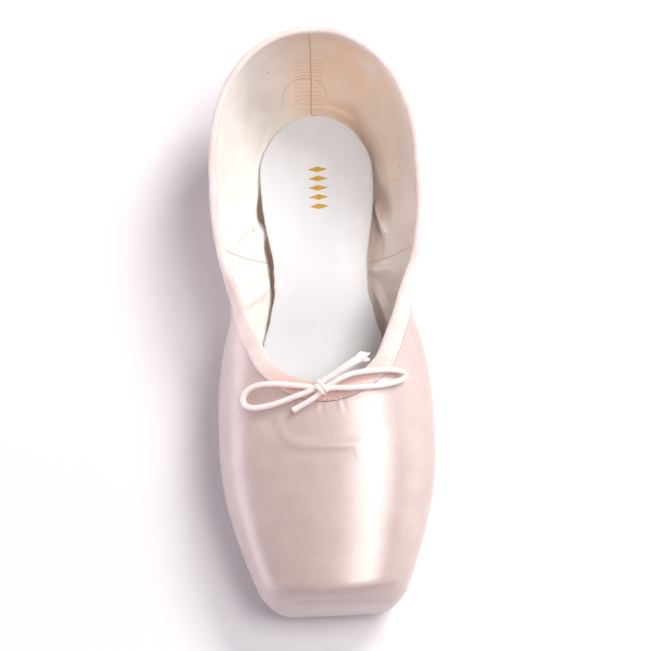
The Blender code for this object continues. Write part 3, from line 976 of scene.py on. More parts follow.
@dataclass(frozen=True)
class Satin(Finish):
    """Shoe satin: polyester floats over a cotton back, woven.

    The long floats lie one way, so light runs along the toe in one soft bright band, and the edges that
    turn away gain a pale sheen. The real threads stand 0.08 mm apart and are drawn 0.4 mm apart to show.
    """

    thread: float = 0.4 * MM
    slub: float = 9 * MM
    relief: float = 0.012 * MM
    gloss_change: float = 0.03
    sheen: str = "#fff6f4"

    def paint(self, tree: bpy.types.NodeTree, shader: bpy.types.Node) -> None:
        """Add the thread lines, the slubs and the soft gloss.

        Args:
            tree: The material's tree.
            shader: Its shader.
        """
        cloth = add_node(tree, "ShaderNodeUVMap", uv_map="cloth")
        place = add_node(tree, "ShaderNodeTexCoord")
        lines = []
        for stretch in ((1.0, 0.35, 1.0), (0.5, 1.0, 1.0)):
            scale = tuple(part / self.thread for part in stretch)
            turned = add_node(tree, "ShaderNodeMapping", {0: cloth, "Scale": scale})
            lines.append(add_node(tree, "ShaderNodeTexNoise",
                                  {"Vector": turned, "Scale": 1.0, "Detail": 1.5}, noise_dimensions="2D"))
        weave = add_node(tree, "ShaderNodeMath", {0: lines[0], 1: lines[1]})
        slubs = add_node(tree, "ShaderNodeTexNoise",
                         {"Vector": place.outputs["Object"], "Scale": 1 / self.slub, "Detail": 3.0})
        blend = add_node(tree, "ShaderNodeMath", {0: weave, 1: 0.3, 2: slubs}, operation="MULTIPLY_ADD")
        gloss = add_node(tree, "ShaderNodeMapRange",
                         {0: weave, 1: 0.7, 2: 1.3, 3: self.roughness + self.gloss_change,
                          4: self.roughness - self.gloss_change})
        bump = add_node(tree, "ShaderNodeBump", {"Height": weave, "Distance": self.relief, "Strength": 0.5})
        tangent = add_node(tree, "ShaderNodeTangent", direction_type="UV_MAP", uv_map="cloth")
        wire(tree, shader, {
            "Base Color": self.tone(tree, blend, 0.6, 1.0), "Roughness": gloss, "Normal": bump,
            "Tangent": tangent, "Anisotropic": 0.3, "Anisotropic Rotation": 0.25, "IOR": 1.8,
            "Specular IOR Level": 1.0, "Sheen Weight": 0.4, "Sheen Roughness": 0.45,
            "Sheen Tint": linear(self.sheen)})


@dataclass(frozen=True)
class WovenCotton(Finish):
    """Plain or ribbed cotton, woven and matte.

    Its yarns catch no gloss, only a dusting of shade between them. They are drawn at the given spacing,
    about twice the real one, so that the weave just shows. Cloth with a diagonal shows its ribs alone.
    """

    yarn: float = 0.6 * MM
    diagonal: float = 0.0
    depth: float = 0.06 * MM
    blotch: float = 14 * MM

    def paint(self, tree: bpy.types.NodeTree, shader: bpy.types.Node) -> None:
        """Add the yarns and a faint unevenness of colour.

        Args:
            tree: The material's tree.
            shader: Its shader.
        """
        cloth = add_node(tree, "ShaderNodeUVMap", uv_map="cloth")
        place = add_node(tree, "ShaderNodeTexCoord")
        turned = add_node(tree, "ShaderNodeMapping", {0: cloth, "Rotation": (0, 0, self.diagonal),
                                                      "Scale": (1 / self.yarn,) * 3})
        wobble = add_node(tree, "ShaderNodeTexNoise", {"Vector": turned, "Scale": 0.35},
                          noise_dimensions="2D")
        bent = add_node(tree, "ShaderNodeVectorMath", {0: turned, 1: wobble.outputs[1]})
        parts = add_node(tree, "ShaderNodeSeparateXYZ", {0: bent})
        waves = []
        for axis in (0, 1):
            turn = add_node(tree, "ShaderNodeMath", {0: parts.outputs[axis], 1: 2 * math.pi},
                            operation="MULTIPLY")
            waves.append(add_node(tree, "ShaderNodeMath", {0: turn}, operation="SINE"))
        weave = waves[0]
        if not self.diagonal:
            weave = add_node(tree, "ShaderNodeMath", {0: waves[0], 1: waves[1]}, operation="MULTIPLY")
        clouds = add_node(tree, "ShaderNodeTexNoise",
                          {"Vector": place.outputs["Object"], "Scale": 1 / self.blotch, "Detail": 4.0})
        worn = add_node(tree, "ShaderNodeMath", {0: weave, 1: 0.06, 2: clouds}, operation="MULTIPLY_ADD")
        bump = add_node(tree, "ShaderNodeBump", {"Height": weave, "Distance": self.depth, "Strength": 0.6})
        wire(tree, shader, {"Base Color": self.tone(tree, worn, 0.3, 0.6), "Normal": bump,
                            "Specular IOR Level": 0.25, "Sheen Weight": 0.3, "Sheen Roughness": 0.5})

    def band(self, tree: bpy.types.NodeTree, axis: int, reach: tuple[float, float], low: float = 0.0,
             high: float = 1.0) -> bpy.types.Node:
        """Run smoothly from one strength to another along an axis of the shoe.

        Args:
            tree: The tree that the nodes join.
            axis: 0 across the shoe, 1 along it and 2 upwards.
            reach: Where the change starts and ends.
            low: The strength at the start.
            high: The strength at the end.

        Returns:
            The node of the strength.
        """
        place = add_node(tree, "ShaderNodeTexCoord")
        parts = add_node(tree, "ShaderNodeSeparateXYZ", {0: place.outputs["Object"]})
        return add_node(tree, "ShaderNodeMapRange",
                        {0: parts.outputs[axis], 1: reach[0], 2: reach[1], 3: low, 4: high},
                        interpolation_type="SMOOTHSTEP")


@dataclass(frozen=True)
class PastedCanvas(WovenCotton):
    """Canvas that paste has soaked through, with painted shade.

    The cloth turns a warm tan behind the heel and along the right side, in soft clouds: partly paste stain,
    partly painted shade on those inner walls. Painted shade turns it brown at the right side's foot, and a
    few dark specks of bran stay caught in the weave.
    """

    # Warm tan of the right wall and heel: partly paste stain, partly painted shade.
    stain_and_shade: str = "#f0d6bd"
    stain_and_shade_across: tuple[float, float] = (-24 * MM, 2 * MM)
    stain_and_shade_along: tuple[float, float] = (40 * MM, 105 * MM)
    cloud: float = 18 * MM
    # Painted shade at the foot of the right wall: its colour, its height and its reach across.
    foot: str = "#a07f6a"
    foot_shade_height: tuple[float, float] = (5.5 * MM, 13 * MM)
    foot_shade_across: tuple[float, float] = (12 * MM, 22 * MM)
    speck: str = "#7d6552"
    speck_spacing: float = 8 * MM

    def paint(self, tree: bpy.types.NodeTree, shader: bpy.types.Node) -> None:
        """Add the paste stain with its painted shade, the painted shade at the foot and the specks to the
        woven cloth.

        Args:
            tree: The material's tree.
            shader: Its shader.
        """
        super().paint(tree, shader)
        colour = shader.inputs["Base Color"].links[0].from_socket
        place = add_node(tree, "ShaderNodeTexCoord")
        clouds = add_node(tree, "ShaderNodeTexNoise",
                          {"Vector": place.outputs["Object"], "Scale": 1 / self.cloud, "Detail": 3.0})
        cloudy = add_node(tree, "ShaderNodeMapRange", {0: clouds, 1: 0.35, 2: 0.65, 3: 0.6})
        # Tan on the right wall and behind the heel: partly paste stain, partly painted shade.
        colour = self.laid_over(tree, colour, self.stain_and_shade, self.band(tree, 0, self.stain_and_shade_across),
                                self.band(tree, 1, self.stain_and_shade_along, 0.35), cloudy)
        # Painted shade: brown at the foot of the right wall, where it meets the sock.
        colour = self.laid_over(tree, colour, self.foot, self.band(tree, 2, self.foot_shade_height, 0.5, 0.0),
                                self.band(tree, 0, self.foot_shade_across), cloudy)
        cells = add_node(tree, "ShaderNodeTexVoronoi",
                         {"Vector": place.outputs["Object"], "Scale": 1 / self.speck_spacing})
        specks = add_node(tree, "ShaderNodeMapRange",
                          {0: cells.outputs["Distance"], 1: 0.03, 2: 0.055, 3: 0.9, 4: 0.0})
        wire(tree, shader, {"Base Color": self.laid_over(tree, colour, self.speck, specks)})


@dataclass(frozen=True)
class ShadedCasingCotton(WovenCotton):
    """The casing's ribbed cotton, with painted shade: a deeper warm pink under the bow, most on its left."""

    # The colour and reach of the painted shade under the bow.
    painted_shade: str = "#dfb5a9"
    painted_shade_along: tuple[float, float] = (-20 * MM, -38 * MM)
    painted_shade_across: tuple[float, float] = (26 * MM, 0.0)

    def paint(self, tree: bpy.types.NodeTree, shader: bpy.types.Node) -> None:
        """Add the painted shade, a deeper pink at the throat and most on its left, to the woven cloth.

        Args:
            tree: The material's tree.
            shader: Its shader.
        """
        super().paint(tree, shader)
        colour = shader.inputs["Base Color"].links[0].from_socket
        # Painted shade: a deeper pink under the bow, strongest on the casing's left.
        shaded = self.laid_over(tree, colour, self.painted_shade, self.band(tree, 1, self.painted_shade_along, 0.0, 0.85),
                                self.band(tree, 0, self.painted_shade_across, 0.35))
        wire(tree, shader, {"Base Color": shaded})


@dataclass(frozen=True)
class Leather(Finish):
    """Leather with its pores and grain.

    Light catches the pores as fine dark pricks, and the surface swells softly between them. Pores stand
    about 0.3 mm apart on the real leather and are drawn at the given spacing to show.
    """

    pore: float = 0.9 * MM
    depth: float = 0.05 * MM
    mottle: float = 16 * MM

    def paint(self, tree: bpy.types.NodeTree, shader: bpy.types.Node) -> None:
        """Add the pores, the grain and the mottled colour.

        Args:
            tree: The material's tree.
            shader: Its shader.
        """
        place = add_node(tree, "ShaderNodeTexCoord").outputs["Object"]
        cells = add_node(tree, "ShaderNodeTexVoronoi",
                         {"Vector": place, "Scale": 1 / self.pore, "Randomness": 1.0})
        pores = add_node(tree, "ShaderNodeMapRange", {0: cells.outputs["Distance"], 1: 0.05, 2: 0.3})
        grain = add_node(tree, "ShaderNodeTexNoise",
                         {"Vector": place, "Scale": 1 / (1.6 * self.pore), "Detail": 5.0})
        patches = add_node(tree, "ShaderNodeTexNoise",
                           {"Vector": place, "Scale": 1 / self.mottle, "Detail": 4.0})
        height = add_node(tree, "ShaderNodeMath", {0: pores, 1: 0.35, 2: grain}, operation="MULTIPLY_ADD")
        amount = add_node(tree, "ShaderNodeMath", {0: height, 1: 0.12, 2: patches}, operation="MULTIPLY_ADD")
        bump = add_node(tree, "ShaderNodeBump", {"Height": height, "Distance": self.depth, "Strength": 0.5})
        wire(tree, shader, {"Base Color": self.tone(tree, amount, 0.35, 0.7), "Normal": bump,
                            "Specular IOR Level": 0.35})


@dataclass(frozen=True)
class TwistedCotton(Finish):
    """Soft cotton cord and thread, twisted.

    Its fibres scatter light without gloss, and fine slanting yarns ring it. They are drawn 0.5 mm apart.
    """

    yarn: float = 0.5 * MM
    slant: float = math.radians(50)
    fuzz: float = 0.7 * MM
    depth: float = 0.08 * MM

    def paint(self, tree: bpy.types.NodeTree, shader: bpy.types.Node) -> None:
        """Add the slanting yarns and the fuzz.

        Args:
            tree: The material's tree.
            shader: Its shader.
        """
        cloth = add_node(tree, "ShaderNodeUVMap", uv_map="cloth")
        place = add_node(tree, "ShaderNodeTexCoord")
        turned = add_node(tree, "ShaderNodeMapping", {0: cloth, "Rotation": (0, 0, self.slant),
                                                      "Scale": (1 / self.yarn,) * 3})
        yarns = add_node(tree, "ShaderNodeTexWave",
                         {"Vector": turned, "Scale": 0.32, "Distortion": 1.0, "Detail": 1.0})
        fuzz = add_node(tree, "ShaderNodeTexNoise",
                        {"Vector": place.outputs["Object"], "Scale": 1 / self.fuzz, "Detail": 2.0})
        amount = add_node(tree, "ShaderNodeMath", {0: yarns.outputs[1], 1: 0.3, 2: fuzz},
                          operation="MULTIPLY_ADD")
        bump = add_node(tree, "ShaderNodeBump", {"Height": amount, "Distance": self.depth, "Strength": 0.6})
        wire(tree, shader, {"Base Color": self.tone(tree, amount, 0.3, 0.7), "Normal": bump,
                            "Specular IOR Level": 0.2, "Sheen Weight": 0.4, "Sheen Roughness": 0.6})


@dataclass(frozen=True)
class Foil(Finish):
    """Gold foil, pressed hot into leather: bright, warm and slightly broken up by the grain."""

    grain: float = 0.5 * MM

    def paint(self, tree: bpy.types.NodeTree, shader: bpy.types.Node) -> None:
        """Add the worn patches of the foil.

        Args:
            tree: The material's tree.
            shader: Its shader.
        """
        place = add_node(tree, "ShaderNodeTexCoord")
        worn = add_node(tree, "ShaderNodeTexNoise",
                        {"Vector": place.outputs["Object"], "Scale": 1 / self.grain, "Detail": 3.0})
        wire(tree, shader, {"Base Color": self.tone(tree, worn, 0.35, 0.55), "Metallic": 1.0})


@dataclass(frozen=True)
class Plaster(Finish):
    """A plain matte studio floor, evenly painted."""

    clouds: float = 6.0

    def paint(self, tree: bpy.types.NodeTree, shader: bpy.types.Node) -> None:
        """Add the faint cloudiness of the paint.

        Args:
            tree: The material's tree.
            shader: Its shader.
        """
        place = add_node(tree, "ShaderNodeTexCoord")
        cloud = add_node(tree, "ShaderNodeTexNoise",
                         {"Vector": place.outputs["Object"], "Scale": self.clouds})
        wire(tree, shader, {"Base Color": self.tone(tree, cloud, 0.0, 0.6), "Specular IOR Level": 0.1})


SATIN = Satin("pale_pink_satin", "#cab4ad", "#c1a9a1", 0.37)
CANVAS = PastedCanvas("natural_canvas", "#f3efea", "#ebe4de", 0.9, yarn=0.7 * MM, depth=0.05 * MM)
CASING = ShadedCasingCotton("pink_ribbed_cotton", "#f6e7e2", "#ebd5ce", 0.8, yarn=0.8 * MM,
                        diagonal=math.radians(35), depth=0.16 * MM)
SOCK = Leather("pale_grey_leather", "#dfe1e3", "#dadcdf", 0.6)
SOLE = Leather("buffed_tan_leather", "#c9ab88", "#b08e69", 0.7, pore=1.2 * MM, depth=0.08 * MM)
CORD = TwistedCotton("ivory_cotton_cord", "#fbece7", "#f2dcd5", 0.85)
THREAD = TwistedCotton("pale_cotton_thread", "#f3e2da", "#e2c8bd", 0.8)
TUFT = TwistedCotton("loose_cotton_yarn", "#fbf6f2", "#efe2dc", 0.9)
SEAM = TwistedCotton("tan_cotton_thread", "#c9aa90", "#b08f76", 0.9)
# Painted shade: the dark brown of the strips laid in the gaps beside the sock.
GAP_SHADE = Leather("painted_gap_shade", "#7d5f4b", "#5d4435", 0.9)
GOLD = Foil("pressed_gold_foil", "#d8ae52", "#b58c3a", 0.5)
FLOOR = Plaster("white_matte_floor", "#f8f7f9", "#f6f5f8", 0.9)


def dress(obj: bpy.types.Object, slot: str, *nodes: str) -> bpy.types.Object:
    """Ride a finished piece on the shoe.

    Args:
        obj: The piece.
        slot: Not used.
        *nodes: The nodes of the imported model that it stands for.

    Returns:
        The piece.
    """
    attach(obj, BODY)
    if nodes:
        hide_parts(*nodes)
    log.info("%s: %d faces", obj.name, len(obj.data.polygons))
    return obj


@dataclass
class Camera:
    """The photograph's view: its angle, its distance and its place in the picture."""

    target: Point = (0.0, 0.0, 20.0)
    distance: float = 1000 * MM
    azimuth: float = math.radians(1.446)
    elevation: float = math.radians(70)
    roll: float = math.radians(-3.987)
    lens: float = 136.63
    shift: tuple[float, float] = (0.00488, -0.00304)

    def build(self) -> None:
        """Set up the camera as the scene's own."""
        back = Vector((math.sin(self.azimuth) * math.cos(self.elevation),
                       -math.cos(self.azimuth) * math.cos(self.elevation), math.sin(self.elevation)))
        right = Vector((0, 0, 1)).cross(back).normalized()
        up = back.cross(right)
        turned = right * math.cos(self.roll) + up * math.sin(self.roll)
        up = up * math.cos(self.roll) - right * math.sin(self.roll)
        data = bpy.data.cameras.new("camera")
        data.lens = self.lens
        data.sensor_width = 36
        data.shift_x, data.shift_y = self.shift
        data.clip_start, data.clip_end = 0.05, 20
        camera = placed("camera", data)
        camera.matrix_world = Matrix.Translation(Vector(self.target) * MM + back * self.distance) @ Matrix(
            (turned, up, back)).transposed().to_4x4()
        bpy.context.scene.camera = camera


@dataclass(frozen=True)
class Softbox:
    """A soft light, or a narrow one where its spread is small.

    Its place and its aim are in millimetres, its size in metres and its spread in degrees.
    """

    name: str
    place: Point
    size: tuple[float, float]
    radiance: float
    colour: str
    aim: Point = (0.0, 0.0, 0.0)
    spread: float = 180.0

    def build(self) -> None:
        """Hang the light, facing its aim."""
        data = bpy.data.lights.new(self.name, "AREA")
        data.shape = "RECTANGLE"
        data.size, data.size_y = self.size
        data.energy = self.radiance * math.pi * self.size[0] * self.size[1]
        data.color = linear(self.colour)[:3]
        data.spread = math.radians(self.spread)
        # A bounced ray that meets a narrow beam by chance would leave a bright dot.
        data.cycles.use_multiple_importance_sampling = self.spread == 180.0
        light = placed(self.name, data)
        light.location = Vector(self.place) * MM
        light.rotation_euler = (Vector(self.aim) * MM - light.location).to_track_quat("-Z", "Y").to_euler()
        light.visible_camera = False


@dataclass
class Studio:
    """A pale floor under softboxes, low cards, two narrow lights on the lining and a soft surround."""

    floor_size: float = 8.0
    lights: tuple[Softbox, ...] = (
        Softbox("long_softbox", (430.0, -150.0, 1110.0), (0.6, 0.46), 7.7, "#fffbf9"),
        Softbox("key_softbox", (640.0, 600.0, 960.0), (0.5, 0.45), 16.5, "#fffbf9"),
        Softbox("top_panel", (-520.0, 200.0, 1000.0), (1.1, 0.8), 0.42, "#fff8f6"),
        Softbox("right_panel", (1100.0, 150.0, 380.0), (1.1, 0.8), 1.7, "#fafaff"),
        Softbox("left_card", (-900.0, 0.0, 190.0), (1.6, 0.4), 2.6, "#f6f0ff"),
        Softbox("front_card", (0.0, -900.0, 110.0), (1.4, 0.22), 1.0, "#f6f0ff"),
        Softbox("heel_snoot", (-350.0, -1000.0, 480.0), (0.08, 0.08), 0.33, "#fff2e6",
                (5.0, 100.0, 32.0), 7.0),
        Softbox("side_snoot", (-950.0, -120.0, 720.0), (0.08, 0.08), 0.35, "#fff7f0",
                (26.0, 38.0, 14.0), 6.0),
    )
    surround: str = "#efedff"
    surround_strength: float = 0.12

    def build(self) -> None:
        """Lay the floor, hang the softboxes and light the surround."""
        half = self.floor_size / 2
        corners = [(-half, -half, 0), (half, -half, 0), (half, half, 0), (-half, half, 0)]
        mesh = bpy.data.meshes.new("floor")
        mesh.from_pydata(corners, [], [(0, 1, 2, 3)])
        mesh.materials.append(FLOOR.material())
        placed("floor", mesh)
        for light in self.lights:
            light.build()
        world = bpy.data.worlds.new("surround")
        world.use_nodes = True
        sky = world.node_tree.nodes["Background"]
        sky.inputs["Color"].default_value = linear(self.surround)
        sky.inputs["Strength"].default_value = self.surround_strength
        bpy.context.scene.world = world
        bpy.context.scene.view_settings.view_transform = "Standard"


class CordEnd(Enum):
    """How a run of the drawstring ends."""

    CUT = "cut"
    FRAYED = "frayed"


@dataclass
class Drawstring:
    """The two ends of the drawstring, tied in a bow over the throat.

    Each comes out of the casing under the knot, rounds its loop, goes back through the knot and ends on
    the other side, as in any bow. Routes are in millimetres.
    """

    diameter: float = 2.2 * MM
    left: Route = (
        (-2.9, -39.6, 49.3), (-3.0, -39.0, 50.4), (-3.8, -38.1, 51.3), (-6.2, -37.3, 51.7),
        (-12.0, -36.3, 51.4), (-19.5, -35.0, 50.1), (-25.6, -34.5, 47.9), (-29.9, -35.6, 45.8),
        (-32.0, -38.3, 44.4), (-31.2, -41.2, 44.0), (-27.6, -42.9, 45.4), (-22.4, -43.0, 47.3),
        (-16.6, -42.0, 49.0), (-11.2, -40.6, 50.7), (-5.6, -39.0, 51.5), (-2.4, -37.2, 52.4),
        (0.3, -35.4, 53.2), (4.4, -33.2, 54.1), (8.4, -30.9, 54.6), (11.8, -28.8, 54.5), (13.6, -27.7, 54.2),
    )
    right: Route = (
        (-0.3, -39.4, 49.3), (-0.2, -38.6, 50.5), (0.6, -37.6, 51.4), (2.4, -36.7, 51.9),
        (6.8, -34.6, 52.6), (11.4, -32.9, 52.2), (16.4, -32.0, 51.3), (22.0, -31.2, 49.8),
        (27.8, -30.6, 47.2), (31.2, -31.2, 45.4), (31.6, -33.0, 44.9), (28.6, -34.9, 46.2),
        (23.0, -36.8, 48.3), (16.6, -38.0, 50.5), (9.6, -38.4, 51.4), (2.8, -38.2, 51.6),
        (-0.6, -39.4, 51.8), (-3.4, -41.2, 51.2), (-6.0, -42.8, 50.6), (-9.2, -44.2, 49.6),
        (-12.6, -45.8, 48.8),
    )
    knot_centre: Point = (-1.5, -37.7, 52.0)
    knot_heading: Point = (0.49, -0.87, 0.0)
    knot_reach: tuple[float, float] = (2.3, 1.9)

    def build(self) -> None:
        """Build the two cords, the knot's wrap and the frayed end."""
        wrap = self.build_wrap()
        tuft = self.build_tuft()
        self.build_run("drawstring_left", self.left, CordEnd.FRAYED, [wrap, tuft],
                       "bow_loop_left", "bow_end_long")
        self.build_run("drawstring_right", self.right, CordEnd.CUT, [], "bow_loop_right", "bow_end_short")

    def build_run(self, name: str, route: Route, end: CordEnd, pieces: list, *nodes: str) -> None:
        """Args:
            name: The cord's name.
            route: Its points, from the casing to its end.
            end: How it ends.
            pieces: Not used.
            *nodes: The nodes that it stands for.
        """
        path = through_points(route, 0.45 * MM)
        run = runs(path)
        radius = np.full(len(path), self.diameter / 2)
        left = run[-1] - run
        if end is CordEnd.CUT:
            radius *= 1 + 0.14 * (1 - fade(left, 0, 2.5 * MM)) - 0.18 * (1 - fade(left, 0, 0.5 * MM))
        else:
            radius *= 1 + 0.4 * (1 - fade(left, 0, 13 * MM))
        points, faces, uv = tube(path, radius, 20, 7 * MM, 3, 0.05)
        cord = mesh_piece(name, points, faces, CORD.material(), uv)
        dress(cord, "cord_cotton", *nodes)

    def build_wrap(self) -> bpy.types.Object:
        """Build the turn and a half of cord that holds the bow.

        Returns:
            The wrap.
        """
        along = np.array(self.knot_heading) / np.linalg.norm(self.knot_heading)
        beside = np.array([along[1], -along[0], 0.0])
        turn = np.linspace(-0.3, 1.3, 80) * 2 * math.pi
        reach, rise = self.knot_reach
        shift = (turn / (2 * math.pi) - 0.6) * 1.8
        path = MM * (np.array(self.knot_centre) + np.cos(turn)[:, None] * reach * along
                     + np.sin(turn)[:, None] * rise * np.array([0, 0, 1.0]) + shift[:, None] * beside)
        points, faces, uv = tube(path, np.full(len(path), self.diameter / 2 * 0.86), 18, 7 * MM, 3, 0.05)
        return dress(mesh_piece("drawstring_wrap", points, faces, CORD.material(), uv), "cord_cotton",
                     "drawstring_knot")

    def build_tuft(self) -> bpy.types.Object:
        """Build the loose yarns of the frayed end.

        Returns:
            The yarns, joined in one piece.
        """
        chance = np.random.default_rng(7)
        root = np.array(self.left[-1])
        way = root - np.array(self.left[-2])
        way /= np.linalg.norm(way)
        side = np.cross(way, [0, 0, 1.0])
        up = np.cross(side, way)
        parts = []
        for yarn in range(13):
            angle = 2 * math.pi * yarn / 12
            spread = 0.0 if yarn == 12 else 1.0
            out = spread * (math.cos(angle) * side + 0.7 * math.sin(angle) * up)
            reach = chance.uniform(3.0, 4.8)
            curl = chance.normal(0, 0.5, 3)
            route = (root - way * 1.2 + out * 0.55, root + way * 0.8 + out * 0.95,
                     root + way * reach * 0.55 + out * 1.7 + curl * 0.5,
                     root + way * reach * 0.9 + out * 2.3 + curl)
            path = through_points(route, 0.3 * MM)
            share = np.linspace(0, 1, len(path))
            radius = MM * (0.55 + 0.3 * np.sin(math.pi * share) - 0.15 * share ** 3)
            parts.append(tube(path, radius, 9, 2.2 * MM, 2, 0.22))
        points, faces, uv = joined(parts)
        return dress(mesh_piece("drawstring_tuft", points, faces, TUFT.material(), uv), "cord_cotton")


@dataclass
class Upper:
    """The satin upper over its canvas lining, drawn over the last with its creases and seams.

    A pair of sizes in millimetres is a range over which something fades in or out.
    """

    last: Last
    satin: float = 0.7 * MM
    gap: float = 0.08 * MM
    ribs: int = 560
    rings: int = 126
    back_rings: int = 24
    seam_y: float = 29 * MM
    seam_groove: tuple[float, float] = (0.3 * MM, 0.5 * MM)
    seam_swell: tuple[float, float, float] = (0.14 * MM, 2.0 * MM, 1.3 * MM)
    pleat: float = 3.3 * MM
    pleat_depth: float = 0.8 * MM
    pleat_toe: tuple[float, float] = (62 * MM, 30 * MM)
    pleat_heel: tuple[float, float] = (22 * MM, 44 * MM)
    fullness: float = 3.4 * MM
    full_ahead: tuple[float, float] = (27 * MM, 4 * MM)
    full_half_width: float = 27 * MM
    full_height: tuple[float, float] = (6 * MM, 28 * MM)
    gather_depth: float = 0.035 * MM
    gather_reach: float = 13 * MM
    casing_clear: tuple[float, float] = (7.3 * MM, 10.5 * MM)
    creases: tuple[Crease, ...] = (
        Crease(((-18.6, -46.5, 45.3), (-18.0, -50.5, 45.0), (-16.4, -54.8, 45.0), (-12.6, -58.0, 45.1),
                (-4.6, -59.3, 45.4), (3.1, -59.5, 45.5), (10.1, -59.4, 45.2), (16.0, -58.8, 44.8)), 1.7, 0.8),
        Crease(((-30.0, -108.5, 22.0), (-22.0, -112.6, 28.0), (-14.0, -114.6, 31.2), (0.0, -114.8, 32.4),
                (14.0, -114.6, 31.2), (22.0, -112.6, 28.0), (30.0, -108.5, 22.0)), 3.6, -0.55),
        Crease(((-17.0, -60.5, 44.6), (-4.6, -62.4, 44.9), (11.0, -61.8, 44.7)), 2.4, -0.28),
        Crease(((-22.9, -46.0, 44.6), (-21.8, -50.0, 44.4), (-19.6, -54.6, 44.6)), 2.8, -0.5),
        Crease(((-17.0, -115.9, 27.5), (-14.5, -115.0, 29.8), (-9.1, -114.5, 31.5), (-3.0, -114.3, 32.2)),
               0.7, -0.16),
        Crease(((-22.0, -113.0, 27.0), (-17.0, -114.3, 30.5), (-12.0, -113.9, 32.0)), 0.6, 0.12),
        Crease(((-35.2, 8.0, 34.0), (-34.6, 2.0, 24.0), (-31.5, -3.0, 14.0)), 2.4, -0.7),
        Crease(((-36.0, 15.0, 34.0), (-35.0, 11.0, 23.0), (-31.0, 9.0, 13.0)), 2.2, 0.5),
        Crease(((-38.0, 24.0, 30.0), (-35.6, 17.0, 18.0), (-29.0, 14.0, 8.0)), 2.0, -0.6),
        Crease(((35.4, 7.0, 34.0), (34.6, 0.0, 23.0), (31.0, -6.0, 13.0)), 2.4, -0.7),
        Crease(((36.2, 16.0, 33.0), (34.9, 10.0, 22.0), (30.5, 7.0, 12.0)), 2.2, 0.5),
        Crease(((38.0, 26.0, 28.0), (35.0, 19.0, 17.0), (28.5, 15.0, 8.0)), 2.0, -0.6),
        Crease(((-30.0, 100.0, 34.0), (-34.0, 84.0, 24.0), (-33.0, 70.0, 15.0)), 3.2, -0.5),
        Crease(((30.0, 100.0, 32.0), (34.5, 86.0, 23.0), (33.0, 72.0, 14.0)), 3.2, -0.5),
    )
    lining_creases: tuple[Crease, ...] = (
        Crease(((-37.4, 33.0, 27.0), (-36.2, 34.3, 24.4), (-30.4, 45.1, 12.3), (-25.2, 51.8, 6.5)), 1.5, 1.8),
        Crease(((-37.0, 38.5, 24.0), (-33.0, 47.0, 14.0), (-28.0, 54.0, 7.5)), 2.2, -0.6),
        Crease(((-33.5, 8.0, 20.0), (-28.2, 14.5, 13.3), (-23.1, 19.8, 8.9), (-20.9, 24.0, 8.1)), 1.4, 1.7),
        Crease(((-31.0, 16.0, 18.0), (-27.6, 19.0, 12.5), (-22.3, 26.5, 8.6)), 1.8, -0.6),
        Crease(((-33.5, 2.0, 26.0), (-30.0, 3.5, 14.0), (-25.5, 6.0, 8.5)), 1.6, 0.8),
        Crease(((24.0, 58.0, 4.7), (25.6, 54.0, 5.2), (27.7, 46.5, 8.3), (29.0, 40.7, 11.3)), 1.9, 3.0),
        Crease(((26.0, 66.0, 5.5), (28.5, 56.0, 8.5), (31.5, 47.0, 13.0)), 2.6, -0.9),
        Crease(((22.5, 48.0, 6.2), (24.8, 40.0, 8.6), (26.0, 33.0, 10.5)), 1.8, -1.3),
        Crease(((20.9, 26.4, 7.4), (22.1, 25.8, 8.4), (26.6, 24.9, 12.4), (29.4, 24.3, 15.9)), 1.6, 2.2),
        Crease(((23.0, 21.5, 8.8), (27.0, 19.0, 12.5), (30.2, 15.0, 17.0)), 2.0, -0.7),
        Crease(((22.4, 19.0, 7.8), (25.2, 12.0, 9.6), (28.6, 1.9, 10.3)), 1.8, 1.9),
        Crease(((27.5, 13.0, 14.0), (30.2, 4.0, 16.0), (32.8, -6.0, 17.0)), 2.2, -0.7),
        Crease(((24.5, 76.0, 6.2), (26.6, 68.0, 7.6), (27.4, 61.0, 8.4)), 2.0, 0.9),
    )

    def __post_init__(self) -> None:
        """Draw the wall's rings and measure how far down, up and round it each point lies."""
        self.points = self.last.rings(self.ribs, self.rings)
        self.normals = self.last.normals(self.points)
        self.depth = runs(self.points)
        self.above = self.depth[-1:] - self.depth
        level = np.argmin(np.abs(self.depth - self.depth[-1:] + 6 * MM), axis=0)
        line = self.points[level, np.arange(self.ribs)]
        self.round_run = runs(np.vstack([line, line[:1]]))[:-1]

    def build(self) -> None:
        """Build the satin and the lining."""
        self.build_satin()
        self.build_lining()

    def places(self) -> Array:
        """Lay the cloth's own coordinates over the wall.

        The vamp's threads run from the throat to the toe and the quarters' run round the heel, so the
        two meet at the side seams.

        Returns:
            The cloth's place at each face corner.
        """
        closed, deep = (np.concatenate([part, part[:, :1]], axis=1) for part in (self.points, self.depth))
        x, y, z = closed[..., 0], closed[..., 1], closed[..., 2]
        girth = 40 * MM * np.arctan2(x, z)
        platform = fade(-y, self.last.length / 2 - 22 * MM, self.last.length / 2 - 7 * MM)
        vamp = np.stack([girth + platform * (x - girth), y + platform * z], axis=-1)
        middle = runs(closed[self.rings // 4])
        quarter = np.stack([deep, np.broadcast_to(middle, deep.shape)], axis=-1)
        front = (corner_values(y).mean(axis=2) < self.seam_y)[..., None, None]
        return np.where(front, corner_values(vamp), corner_values(quarter))

    def seams(self) -> Array:
        """Give the relief of the side seams and the back seam.

        Returns:
            Narrow grooves, each with the slight swell of the turned-in edges beside it.
        """
        groove, groove_width = self.seam_groove
        swell, swell_place, swell_width = self.seam_swell
        far = 100 * MM
        across, y = np.abs(self.points[..., 0]), self.points[..., 1]
        relief = 0.0
        for away in (np.abs(y - self.seam_y) + far * (across < 12 * MM), across + far * (y < 80 * MM)):
            relief = relief - groove * np.exp(-(away / groove_width) ** 2)
            relief = relief + swell * np.exp(-((away - swell_place) / swell_width) ** 2)
        return relief * fade(self.depth, 4 * MM, 8 * MM)

